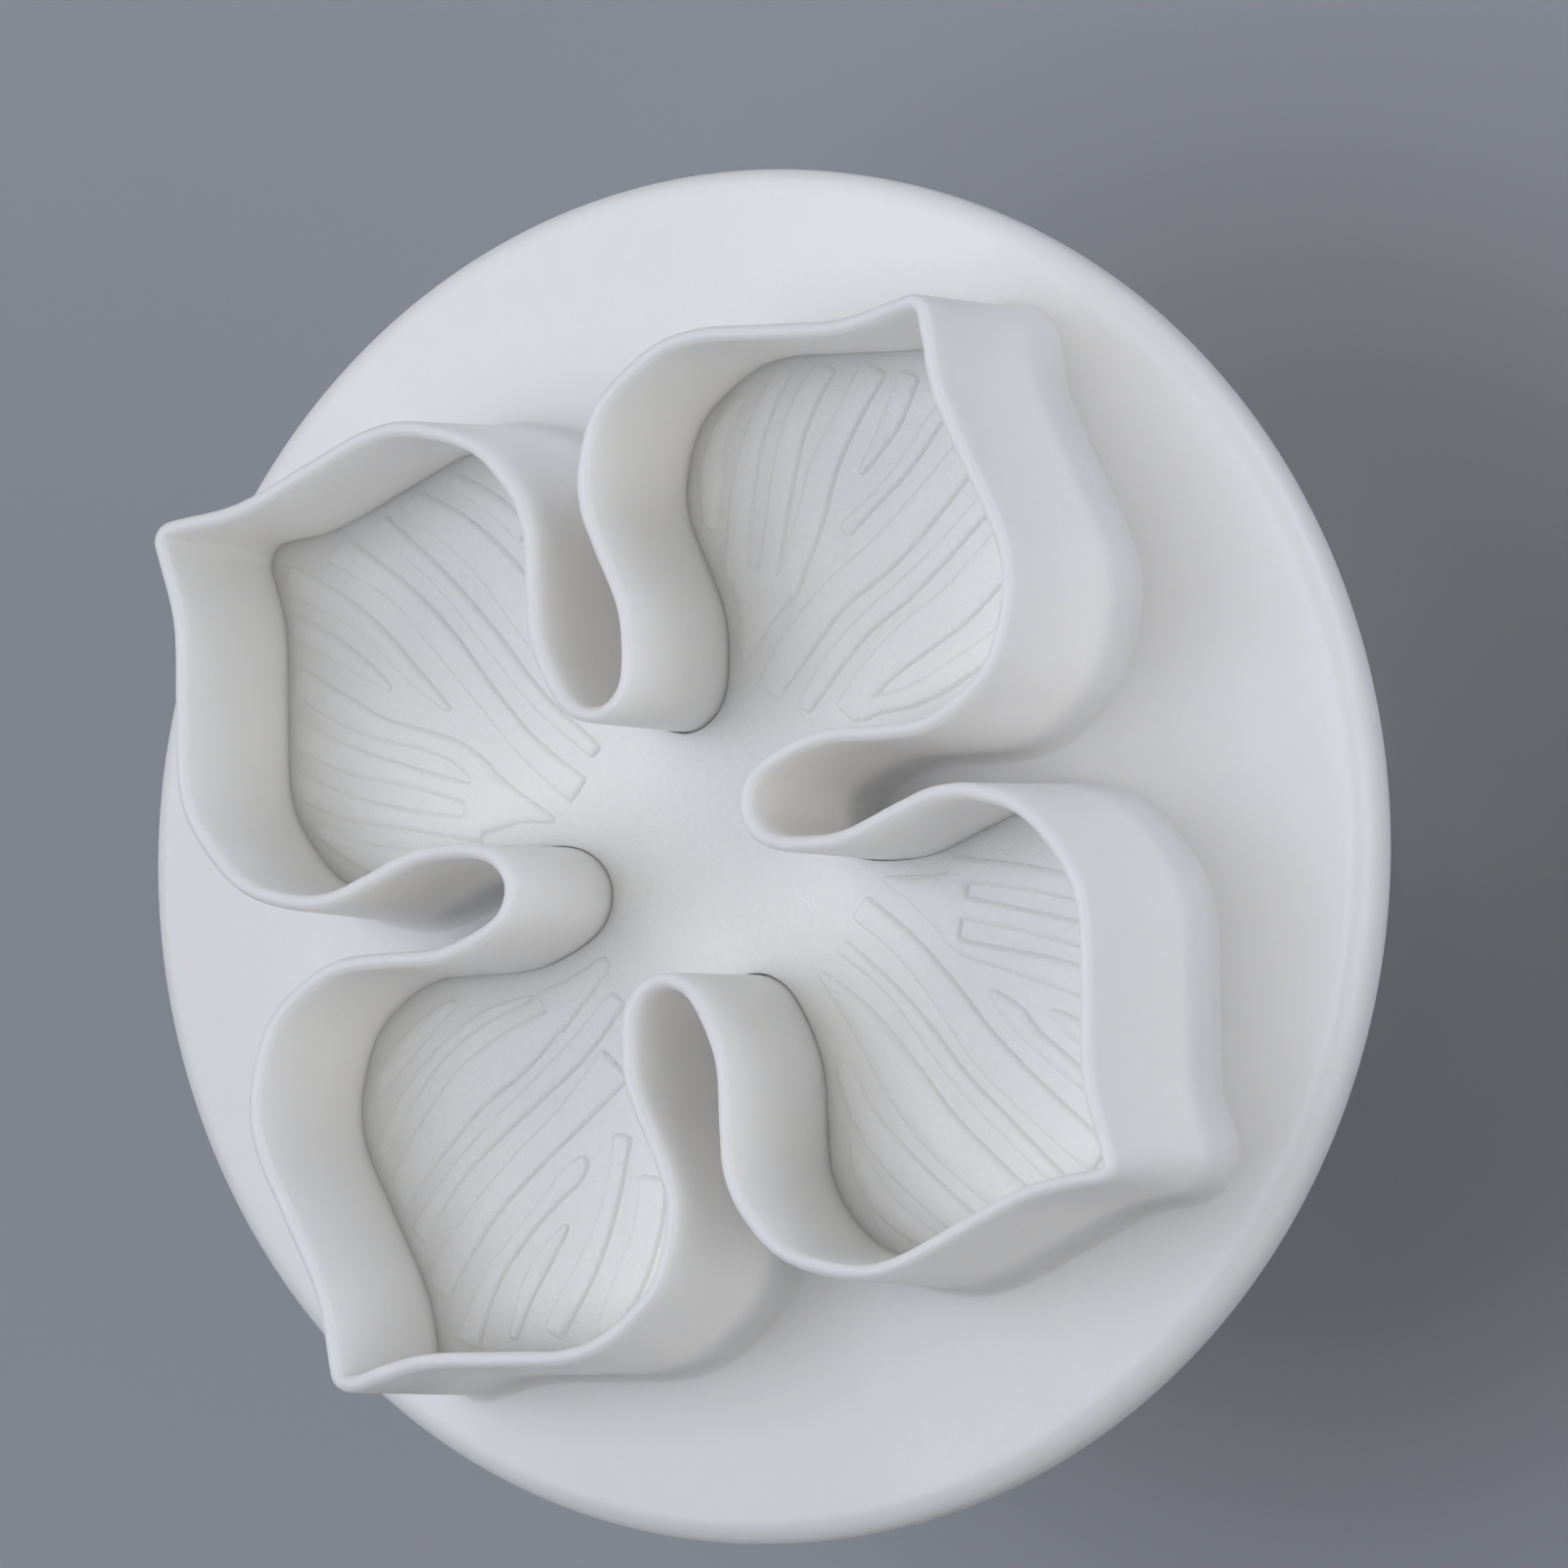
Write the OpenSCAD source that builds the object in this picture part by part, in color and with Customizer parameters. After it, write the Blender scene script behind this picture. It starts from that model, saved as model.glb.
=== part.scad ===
// Plunger cutter for flower paste: a four-petal cutting wall on a round flange, with a sprung
// embossing plate that rises inside the wall when the knob behind it is pressed.
// The model stands on its knob with the cutting edge up. The origin is on the plunger axis,
// in the knob's rest face. All sizes are in millimetres.

/* [Flower outline] */
// Distance from the plunger axis to a petal tip, on the middle of the cutting lip
petal_reach = 27; // [24:0.5:28]
// Rounding of the middle line of the lip at a petal tip
tip_round = 0.6; // [0.5:0.05:0.8]
// Rounding of the same line at the foot of the wall
foot_tip_round = 1.5; // [0.8:0.1:1.8]
// Number of straight steps that stand for each curved stretch between two outline points
outline_steps = 3; // [2:1:5]

/* [Cutting wall] */
// Height of the cutting wall over the front face of the flange
wall_h = 11.5; // [9:0.5:16]
// Width of the blunt cutting lip
lip_w = 0.66; // [0.4:0.02:0.8]
// How far the outside of the wall leans out from lip to foot
wall_draft = 0.3; // [0.1:0.05:0.4]
// Size of the fillet between the outside of the wall and the flange
foot_fillet = 0.35; // [0.2:0.05:0.4]

/* [Flange] */
// Diameter of the round flange
flange_d = 60.2; // [59:0.2:70]
// Thickness of the flange
flange_t = 2.2; // [1.6:0.1:4]
// Radius of the rounded front edge of the flange
flange_round = 1.1; // [0.5:0.1:1.4]

/* [Embossing plate] */
// Depth of the plate's face below the cutting edge at rest
plate_depth = 8.8; // [7:0.1:9.5]
// Gap between the plate and the inside of the wall, all round
plate_gap = 0.2; // [0.1:0.05:0.4]
// Height of the raised veins on the plate
vein_h = 0.2; // [0.1:0.02:0.3]

/* [Guide sleeve] */
// Outside diameter of the sleeve behind the flange
sleeve_d = 19; // [17.5:0.5:22]
// Length of the sleeve behind the flange
sleeve_len = 12; // [10:0.5:16]
// Depth of the spring cup in the end of the sleeve
cup_depth = 6; // [4:0.5:8]
// Diameter of the spring cups in the sleeve and in the knob
cup_d = 15.4; // [15:0.1:16]
// Number of gussets between the sleeve and the flange
gusset_count = 6; // [3:1:8]

/* [Plunger] */
// How far the plunger travels when it is pressed
stroke = 9.6; // [8:0.1:10]
// Diameter of the stem that slides in the sleeve
stem_d = 10; // [8:0.5:11]
// Radial clearance of the stem in its guide bore
guide_clearance = 0.05; // [0.02:0.01:0.1]

/* [Knob] */
// Diameter of the push knob
knob_d = 30; // [26:1:34]
// Height of the push knob
knob_h = 9; // [8:0.5:12]
// Depth of the spring cup in the knob
knob_cup_depth = 3; // [2:0.5:4]
// Diameter of the cap that closes the end of the knob
cap_d = 20; // [16:0.5:22]

/* [Return spring] */
// Diameter of the spring wire
wire_d = 0.9; // [0.7:0.1:1]
// Mean diameter of the curls
coil_d = 13; // [12.5:0.1:13.4]
// Number of curls
curls = 7; // [5:1:9]

/* [Hidden] */
$fn = 96;

// Heights along the plunger axis, from the rest face of the knob up
press_room = 0.4;
sleeve_z = knob_h + stroke + press_room;
flange_z = sleeve_z + sleeve_len;
face_z = flange_z + flange_t;
edge_z = face_z + wall_h;
plate_face_z = edge_z - plate_depth;
plate_back_gap = 0.1;
plate_back_z = face_z + plate_back_gap;
knob_floor_z = knob_h - knob_cup_depth;
cup_floor_z = sleeve_z + cup_depth;
bore_r = stem_d / 2 + guide_clearance;

// Fastening of the knob: cap recess, screw pocket, web and screw
cap_inset = 0.3;
cap_t = 1.6;
cap_fit = 0.15;
web_t = 1.6;
pocket_d = 8;
screw_d = 3;
screw_fit = 0.02;
screw_len = 16;
head_d = 5.6;
head_h = 1.8;
washer_d = 7;
washer_t = 0.5;
slot_d = 2.1;
slot_depth = 1;
web_z = knob_floor_z - web_t;
pocket_z = cap_inset + cap_t;

// Socket that joins the stem to the plate
spigot_d = 6;
spigot_len = 6;
spigot_fit = 0.03;
spigot_room = 0.5;

// Gussets: thickness, reach out along the flange, drop along the sleeve, blunt ends and sink into the sleeve
gusset_t = 1.4;
gusset_reach = 9;
gusset_drop = 6;
gusset_end = 0.8;
gusset_root = 0.15;

// Knob: rounding of the rest edge, height of the rim, width of the neck and of the groove under the rim
knob_edge = 1.4;
knob_rim_h = 4;
neck_r = 11.5;
groove_h = 1.4;
groove_foot = 1.2;
knob_chamfer = 0.8;
screw_room = 0.15;

// Chamfer of the cap, play of the washer on the screw, and room under the tip of the screw
cap_chamfer = 0.3;
washer_fit = 0.1;
head_overlap = 1;
screw_tip_room = 1;

// How far cutting tools run past the material
past = 1;

// Colours
plastic = [0.87, 0.87, 0.86];
steel = [0.72, 0.73, 0.74];

// Half of the valley between two petals, on the middle line of the lip at a reach of 27 mm.
// The first value runs out along the valley, the second across it, from the nose to a tip.
valley_reach = 27;
valley_half = [[5.95, 0], [6.4, 1.12], [7.6, 1.82], [10.1, 2.22], [13, 1.72], [14.9, 1.48],
    [16.8, 1.93], [18.9, 3.3], [20.35, 6], [20.6, 8.3], [19.9, 11.6], [19.15, 15.2]];
tip_apex = 19.3;
tip_steps = 5;

function unit(v) = v / norm(v);
function turned(p, a) = [p[0] * cos(a) - p[1] * sin(a), p[0] * sin(a) + p[1] * cos(a)];
function blend(a, b, c, d, t) = 0.5 * (2 * b + (c - a) * t + (2 * a - 5 * b + 4 * c - d) * t * t
    + (3 * b - a - 3 * c + d) * t * t * t);

// Points of a smooth curve that passes through every given point
function curve(points, steps) = let (last = len(points) - 1, ahead = 2 * points[0] - points[1],
    after = 2 * points[last] - points[last - 1], all = concat([ahead], points, [after]))
    concat([for (i = [0 : last - 1]) for (s = [0 : steps - 1])
        blend(all[i], all[i + 1], all[i + 2], all[i + 3], s / steps)], [points[last]]);

// The closed middle line of the lip, anticlockwise, for a given rounding at the tips
function flower(tip_r) = let (
    size = petal_reach / valley_reach,
    apex = [tip_apex, tip_apex] * size,
    last = valley_half[len(valley_half) - 1] * size,
    along = unit(apex - last),
    lean = atan2(along[1], along[0]) - 45,
    end = apex - along * tip_r / tan(lean),
    upper = concat([for (i = [1 : len(valley_half) - 1]) valley_half[i] * size], [end]),
    count = len(upper),
    lower = [for (i = [count - 1 : -1 : 0]) [upper[i][0], -upper[i][1]]],
    valley = curve(concat(lower, [valley_half[0] * size], upper), outline_steps),
    middle = norm(apex) - tip_r / sin(lean),
    swing = 90 - lean)
    [for (j = [0 : 3]) each concat(
        [for (p = valley) turned(p, 90 * j)],
        [for (s = [1 : tip_steps - 1]) let (a = -swing + 2 * swing * s / tip_steps)
            turned([middle + tip_r * cos(a), tip_r * sin(a)], 90 * j + 45)])];

// A closed line moved outward by a distance
function moved(line, d) = let (n = len(line)) [for (i = [0 : n - 1]) let (
    a = unit(line[i] - line[(i + n - 1) % n]),
    b = unit(line[(i + 1) % n] - line[i]),
    na = [a[1], -a[0]],
    nb = [b[1], -b[0]]) line[i] + d * (na + nb) / (1 + na * nb)];

// Section of the wall: distance out from the middle line of the lip, and height under the edge
lip_drop = 0.22;
lip_flat = 0.28;
step_drop = 0.6;
wall_inset = lip_w / 2 + 0.12;
wall_section = [
    [-wall_inset, -wall_h],
    [-lip_w / 2 - 0.02, -step_drop],
    [-lip_w / 2, -lip_drop],
    [-lip_w * lip_flat, 0],
    [lip_w * lip_flat, 0],
    [lip_w / 2 - 0.02, -lip_drop],
    [lip_w / 2 + 0.03, -step_drop],
    [lip_w / 2 + wall_draft, -wall_h + 2 * foot_fillet],
    [lip_w / 2 + wall_draft + 0.35 * foot_fillet, -wall_h + 0.7 * foot_fillet],
    [lip_w / 2 + wall_draft + foot_fillet, -wall_h]];
// Middle line of the wall at a height under the edge
function wall_line(z) = flower(tip_round + (foot_tip_round - tip_round) * -z / wall_h);

// Veins on each petal, as bands along points with three values: out along the petal from the
// plunger axis, across the petal, and the width of the band. Petals follow each other clockwise,
// seen from the edge.
petal_turns = [135, 45, -45, -135];
veins = [
    [[[20.3, -7.3, 0.6], [17.8, -7.4, 0.9], [15.5, -7.1, 1]],
     [[21.5, -5.5, 1], [18.6, -5.5, 1.6], [16.1, -5.1, 1.8], [13.8, -4.3, 1.9], [12, -3.4, 1.4]],
     [[22.2, -3.9, 0.8], [18.2, -3.3, 0.8], [14.6, -2.3, 0.9], [11.1, -1.2, 0.8], [7.5, -0.7, 0.7]],
     [[23.6, -1.8, 1.4], [20, -1.8, 1.1], [16.8, -1.1, 1.3], [13.7, -0.1, 1.1], [10.6, 0.8, 1.1],
      [7.4, 1.2, 1.3]],
     [[25, 0.6, 1.3], [22.2, 0.3, 1.1], [19.7, 0.4, 0.9], [17.2, 1, 0.8], [14.8, 1.4, 0.3]],
     [[23.8, 2.3, 1], [21.6, 2, 1], [19.6, 2, 0.8], [17.8, 2.1, 0.3]],
     [[22.6, 4.2, 1.2], [19.7, 4.1, 1.3], [17.3, 3.8, 1], [15, 3.1, 0.9], [13.4, 2.8, 1], [11.6, 3, 1.2]],
     [[21.5, 6.3, 1.2], [18, 5.8, 1.2], [15, 4.9, 0.9], [11.2, 3.8, 0.9]],
     [[20.2, 8.2, 1.1], [16.9, 7.6, 1.1], [14.2, 6.6, 0.9], [10.6, 5.1, 1]],
     [[12.1, 4.2, 3.8], [10.8, 3.8, 2.6], [9.4, 3.3, 1.2], [7.8, 2.9, 0.3]],
     [[18.2, 9.3, 0.4], [15.4, 9.1, 1.1], [13.1, 8.4, 1.6]]],
    [[[17.6, 9.6, 0.6], [15.4, 9.5, 0.9], [13.5, 8.8, 1.1], [11.8, 7.8, 0.5]],
     [[19.8, 8.3, 0.8], [16.6, 8, 1], [13.9, 7.1, 1.2], [10.4, 5.5, 1.1]],
     [[20.8, 6.6, 1.1], [18.1, 6.5, 1.2], [15.9, 5.9, 1.2], [13.8, 5.1, 1.1], [10.7, 3.9, 0.9]],
     [[21.9, 4.5, 1.4], [19.2, 4.4, 1.2], [16.9, 4.3, 1.4], [14.6, 3.7, 1.4], [11.2, 3.1, 1.2]],
     [[11.7, 4.5, 4], [10.6, 4.1, 2.8], [9.2, 3.7, 1.4], [7.7, 3.3, 0.3]],
     [[22.5, 2.8, 1], [20.6, 2.5, 1], [19.1, 2.5, 0.7], [17.6, 2.6, 0.3]],
     [[22, 0.6, 0.8], [19, 0.9, 0.7], [17, 1.4, 0.6], [15, 2, 0.7]],
     [[21.5, -1.6, 1.5], [17.6, -0.8, 1.6], [15, -0.1, 1.6], [12.5, 0.9, 1.5], [9.9, 1.4, 1.6],
      [7.2, 1.6, 1.3]],
     [[20.6, -3.6, 0.9], [16.6, -2.6, 0.9], [14.4, -1.9, 1], [12.1, -1, 0.9], [9.8, -0.5, 1],
      [7.4, -0.3, 0.7]],
     [[19.2, -5.4, 1.9], [15.4, -4.5, 1.9], [13.1, -3.5, 1.8], [10.8, -2.6, 1.5], [8.3, -2.2, 1.3]],
     [[15.4, -7.2, 0.9], [14, -6.6, 1], [12.3, -5.7, 1.1], [11.3, -5.1, 1], [10.3, -4.3, 0.9],
      [9.5, -3.4, 0.8], [8.6, -2.7, 0.8]]],
    [[[7.1, 1.5, 1.2], [9.9, 1.2, 1.2], [12.7, 0.4, 1.4], [15.4, -0.6, 1.6], [18.2, -1.2, 1.6],
      [22.8, -1.9, 1.5]],
     [[7.2, -0.4, 0.7], [10, -0.7, 0.6], [12.7, -1.5, 0.8], [15.4, -2.4, 0.8], [18.2, -3, 0.8],
      [22.2, -3.8, 0.7]],
     [[6.9, -1.9, 0.3], [10, -2.7, 1.4], [13, -3.9, 2], [16, -4.9, 2], [20.6, -5.6, 1.7]],
     [[9.9, -4.8, 0.8], [12.3, -6.3, 1.2], [15.1, -7.1, 1.4], [19.2, -7.7, 1.3]],
     [[12.1, -7.5, 0.3], [13.6, -8.4, 1], [15.3, -9, 1.1], [17.8, -9.2, 1]],
     [[7.5, 3.1, 0.3], [9, 3.5, 1.2], [10.4, 3.8, 2.5], [11.5, 4.2, 4]],
     [[10, 5.1, 1.1], [13, 6.5, 1.1], [15.4, 7.4, 1.1], [18.4, 8.4, 1]],
     [[10.3, 3.6, 1], [13.9, 4.9, 1], [16.6, 5.8, 1.1], [20, 6.8, 1]],
     [[11.2, 2.6, 0.5], [12.5, 2.6, 0.7], [14.8, 3.3, 1], [17.6, 4.1, 1.3], [21.6, 4.9, 1.2]],
     [[14.5, 1.6, 0.4], [16.1, 1.3, 1], [17.9, 0.9, 0.8], [23.8, 0.3, 0.8]],
     [[17.4, 2.3, 0.3], [18.3, 2.4, 0.6], [19.1, 2.3, 0.9], [23.4, 2.4, 0.9]]],
    [[[12.2, -7.9, 0.4], [13.9, -8.6, 0.9], [15.6, -9, 1], [17.7, -9.4, 0.6]],
     [[10.1, -4.7, 0.3], [12.1, -6.3, 0.6], [14.5, -7.3, 0.6], [17.1, -7.7, 0.7], [20.1, -7.7, 0.6]],
     [[9.9, -3, 0.9], [12.4, -4.1, 2], [15, -5.2, 2.1], [17.8, -5.7, 1.8], [21.2, -6, 1.2]],
     [[6.8, -2.3, 0.6], [8.6, -2.9, 1.3], [10.3, -3.6, 2.2]],
     [[7.9, -1, 0.9], [10.7, -1.5, 1.1], [13.3, -2.3, 1], [16, -3.2, 0.9], [18.7, -3.9, 0.8],
      [22, -4.2, 0.9]],
     [[10.4, 0.4, 1.9], [13.5, -0.3, 1.4], [16.5, -1.2, 1.3], [19.6, -1.9, 1.3], [23.6, -2.2, 1.5]],
     [[14.7, 1.3, 0.5], [15.6, 1.1, 1], [17.2, 0.7, 0.8], [19.2, 0.3, 0.7], [21.7, 0, 0.9],
      [24.8, 0.4, 1.2]],
     [[17.7, 2, 0.3], [19.3, 1.8, 0.8], [21.1, 1.8, 0.8], [23.4, 2.2, 0.4]],
     [[12.9, 2.3, 0.9], [15, 3.1, 0.8], [17.1, 3.6, 0.9], [19.3, 3.8, 1.1], [22.2, 3.8, 1]],
     [[13.7, 4.6, 1.5], [15.9, 5.5, 1.4], [18.3, 5.9, 1.5], [21, 6, 0.9]]]];
vein_steps = 3;
vein_corner = 0.2;

// Outline of a band: its two sides, with the four corners cut off
function across(line, i) = let (n = len(line), t = line[min(i + 1, n - 1)] - line[max(i - 1, 0)])
    unit([t[1], -t[0]]);
function side_line(line, side) = [for (i = [1 : len(line) - 2])
    [line[i][0], line[i][1]] + side * line[i][2] / 2 * across(line, i)];
function cut_end(line, i, side, forward) = let (
    half = line[i][2] / 2,
    cut = min(vein_corner, half / 2),
    right = across(line, i),
    ahead = [-right[1], right[0]] * forward,
    here = [line[i][0], line[i][1]])
    [here + side * right * half - ahead * cut, here + side * right * (half - cut)];
function reversed(list) = [for (i = [len(list) - 1 : -1 : 0]) list[i]];
function band_outline(band) = let (line = curve(band, vein_steps), last = len(line) - 1)
    concat(side_line(line, 1), cut_end(line, last, 1, 1), reversed(cut_end(line, last, -1, 1)),
        reversed(side_line(line, -1)), cut_end(line, 0, -1, -1), reversed(cut_end(line, 0, 1, -1)));

// Outline of the embossing plate, inside the foot of the wall
plate_line = moved(flower(foot_tip_round), -wall_inset - plate_gap);
vein_sink = 0.3;
vein_room = 0.3;

// Middle line of the spring wire: an upright end, a bend, the curls, a bend and an upright end
leg = wire_d;
bend_r = 1;
bend_steps = 4;
rings_per_curl = 8;
coil_low = knob_floor_z + leg + bend_r;
coil_high = cup_floor_z - leg - bend_r;
bend_turn = bend_r / (coil_d / 2) * 180 / PI;
coil_rings = curls * rings_per_curl;
function on_coil(a, z) = [coil_d / 2 * cos(a), coil_d / 2 * sin(a), z];
function bend(s) = 90 * s / bend_steps;
wire_line = concat(
    [on_coil(-bend_turn, knob_floor_z)],
    [for (s = [0 : bend_steps - 1]) on_coil(-bend_turn * cos(bend(s)),
        coil_low - bend_r + bend_r * sin(bend(s)))],
    [for (i = [0 : coil_rings]) on_coil(i * 360 / rings_per_curl,
        coil_low + (coil_high - coil_low) * i / coil_rings)],
    [for (s = [bend_steps - 1 : -1 : 0]) on_coil(360 * curls + bend_turn * cos(bend(s)),
        coil_high + bend_r - bend_r * sin(bend(s)))],
    [on_coil(360 * curls + bend_turn, cup_floor_z)]);
wire_sides = 6;

// Least distance of the wire to itself, surface to surface, over points that a bend and half a turn part
apart = rings_per_curl / 2 + bend_steps;
wire_gap = min([for (i = [0 : len(wire_line) - 1]) for (j = [i + apart : 1 : len(wire_line) - 1])
    norm(wire_line[i] - wire_line[j])]) - wire_d;
echo(wire_gap = wire_gap);

// A tube of round section along a line of points. Each ring lies in the plane that halves the bend there.
module tube(line, d, sides) {
    n = len(line);
    points = [for (i = [0 : n - 1]) let (
        t = i == 0 ? [0, 0, 1] : i == n - 1 ? [0, 0, 1] : unit(line[i + 1] - line[i - 1]),
        out = unit([line[i][0], line[i][1], 0]),
        b = unit(cross(t, out)),
        a = cross(b, t)) for (k = [0 : sides - 1]) line[i] + d / 2 * (cos(360 * k / sides) * a
        + sin(360 * k / sides) * b)];
    walls = [for (i = [0 : n - 2]) for (k = [0 : sides - 1]) let (k2 = (k + 1) % sides)
        each [[i * sides + k, (i + 1) * sides + k, (i + 1) * sides + k2],
            [i * sides + k, (i + 1) * sides + k2, i * sides + k2]]];
    low_end = [for (k = [1 : sides - 2]) [0, k, k + 1]];
    high_end = [for (k = [1 : sides - 2]) [(n - 1) * sides, (n - 1) * sides + k + 1, (n - 1) * sides + k]];
    polyhedron(points, concat(walls, low_end, high_end));
}

// The wall's section swept round the flower
module swept_wall(section) {
    n = len(wall_line(0));
    m = len(section);
    rows = [for (s = section) moved(wall_line(s[1]), s[0])];
    points = [for (i = [0 : n - 1]) for (j = [0 : m - 1]) [rows[j][i][0], rows[j][i][1], section[j][1]]];
    faces = [for (i = [0 : n - 1]) for (j = [0 : m - 1]) let (i2 = (i + 1) % n, j2 = (j + 1) % m)
        each [[i * m + j, i * m + j2, i2 * m + j2], [i * m + j, i2 * m + j2, i2 * m + j]]];
    polyhedron(points, faces);
}

// Round flange with a rounded front edge and the guide bore for the stem
module flange() {
    r = flange_d / 2;
    color(plastic)
    translate([0, 0, flange_z])
    difference() {
        union() {
            cylinder(h = flange_t - flange_round, r = r);
            cylinder(h = flange_t, r = r - flange_round);
            translate([0, 0, flange_t - flange_round])
            rotate_extrude()
            intersection() {
                translate([r - flange_round, 0])
                circle(r = flange_round, $fn = 48);
                translate([r - flange_round, 0])
                square(flange_round);
            }
        }
        translate([0, 0, -past])
        cylinder(h = flange_t + 2 * past, r = bore_r);
    }
}

// Flower-shaped cutting wall with a blunt lip, draft and a fillet at its foot
module cutting_wall() {
    color(plastic)
    translate([0, 0, edge_z])
    swept_wall(wall_section);
}

// Sleeve behind the flange with the guide bore and the upper spring cup
module guide_sleeve() {
    color(plastic)
    translate([0, 0, sleeve_z])
    difference() {
        cylinder(h = sleeve_len, r = sleeve_d / 2);
        translate([0, 0, -past])
        cylinder(h = sleeve_len + 2 * past, r = bore_r);
        translate([0, 0, -past])
        cylinder(h = cup_depth + past, r = cup_d / 2);
    }
}

// Triangular gussets between the sleeve and the back of the flange
module sleeve_gussets() {
    color(plastic)
    for (i = [0 : gusset_count - 1])
    rotate([0, 0, 360 * (i + 0.5) / gusset_count])
    translate([sleeve_d / 2 + gusset_root, gusset_t / 2, flange_z])
    rotate([90, 0, 0])
    linear_extrude(gusset_t)
    polygon([[0, 0], [gusset_reach, 0], [gusset_reach, -gusset_end], [gusset_end, -gusset_drop],
        [0, -gusset_drop]]);
}

// Embossing plate with raised veins and the spigot that plugs into the stem
module emboss_plate() {
    color(plastic) {
        translate([0, 0, plate_back_z])
        linear_extrude(plate_face_z - plate_back_z)
        polygon(plate_line);
        translate([0, 0, plate_face_z - vein_sink])
        linear_extrude(vein_h + vein_sink)
        intersection() {
            polygon(moved(plate_line, -vein_room));
            union()
            for (k = [0 : 3])
            rotate(petal_turns[k])
            for (v = veins[k])
            polygon(band_outline(v));
        }
        translate([0, 0, plate_back_z - spigot_len])
        cylinder(h = spigot_len + past, r = spigot_d / 2);
    }
}

// Hollow stem that slides in the guide bore and carries the plate
module plunger_stem() {
    stem_len = plate_back_z - knob_floor_z;
    color(plastic)
    translate([0, 0, knob_floor_z])
    difference() {
        cylinder(h = stem_len, r = stem_d / 2);
        translate([0, 0, stem_len - spigot_len - spigot_room])
        cylinder(h = spigot_len + spigot_room + past, r = spigot_d / 2 + spigot_fit);
        translate([0, 0, -past])
        cylinder(h = screw_len + past, r = screw_d / 2 + screw_fit);
    }
}

// Round push knob with a spring cup, a grip groove, a screw pocket and a recess for its cap
module push_knob() {
    r = knob_d / 2;
    color(plastic)
    difference() {
        union() {
            translate([0, 0, knob_edge])
            cylinder(h = knob_rim_h - knob_edge, r = r);
            cylinder(h = knob_edge, r = r - knob_edge);
            translate([0, 0, knob_edge])
            rotate_extrude()
            intersection() {
                translate([r - knob_edge, 0])
                circle(r = knob_edge, $fn = 48);
                translate([r - knob_edge, -knob_edge])
                square(knob_edge);
            }
            translate([0, 0, knob_rim_h])
            cylinder(h = groove_h, r1 = r, r2 = neck_r + groove_foot);
            cylinder(h = knob_h - knob_chamfer, r = neck_r);
            translate([0, 0, knob_h - knob_chamfer])
            cylinder(h = knob_chamfer, r1 = neck_r, r2 = neck_r - knob_chamfer);
        }
        translate([0, 0, knob_floor_z])
        cylinder(h = knob_cup_depth + past, r = cup_d / 2);
        translate([0, 0, -past])
        cylinder(h = pocket_z + past, r = cap_d / 2 + cap_fit);
        translate([0, 0, -past])
        cylinder(h = web_z + past, r = pocket_d / 2);
        translate([0, 0, -past])
        cylinder(h = knob_h, r = screw_d / 2 + screw_room);
    }
}

// Cap that closes the end of the knob, set in a little from the rest face
module knob_cap() {
    color(plastic)
    translate([0, 0, cap_inset])
    union() {
        translate([0, 0, cap_chamfer])
        cylinder(h = cap_t - cap_chamfer, r = cap_d / 2);
        cylinder(h = cap_chamfer, r1 = cap_d / 2 - cap_chamfer, r2 = cap_d / 2);
    }
}

// Screw that holds the knob on the stem
module fixing_screw() {
    head_z = web_z - washer_t - head_h;
    color(steel)
    difference() {
        union() {
            translate([0, 0, head_z])
            cylinder(h = head_h, r = head_d / 2);
            translate([0, 0, head_z + head_overlap])
            cylinder(h = knob_floor_z + screw_len - screw_tip_room - head_overlap - head_z, r = screw_d / 2);
        }
        translate([0, 0, head_z - past])
        cylinder(h = slot_depth + past, r = slot_d / 2, $fn = 6);
    }
}

// Plain washer under the screw head
module screw_washer() {
    color(steel)
    translate([0, 0, web_z - washer_t])
    difference() {
        cylinder(h = washer_t, r = washer_d / 2);
        translate([0, 0, -past])
        cylinder(h = washer_t + 2 * past, r = screw_d / 2 + washer_fit);
    }
}

// Compression spring between the knob and the sleeve
module return_spring() {
    color(steel)
    tube(wire_line, wire_d, wire_sides);
}

flange();
cutting_wall();
guide_sleeve();
sleeve_gussets();
emboss_plate();
plunger_stem();
push_knob();
knob_cap();
fixing_screw();
screw_washer();
return_spring();
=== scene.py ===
"""Looks of a plunger cutter for flower paste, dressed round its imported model."""
import logging
import math
from dataclasses import dataclass, field
from enum import Enum
from functools import cache
from typing import Iterable, Sequence

import bpy
import numpy as np
from mathutils import Matrix, Vector, noise
from mathutils.geometry import delaunay_2d_cdt


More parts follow.
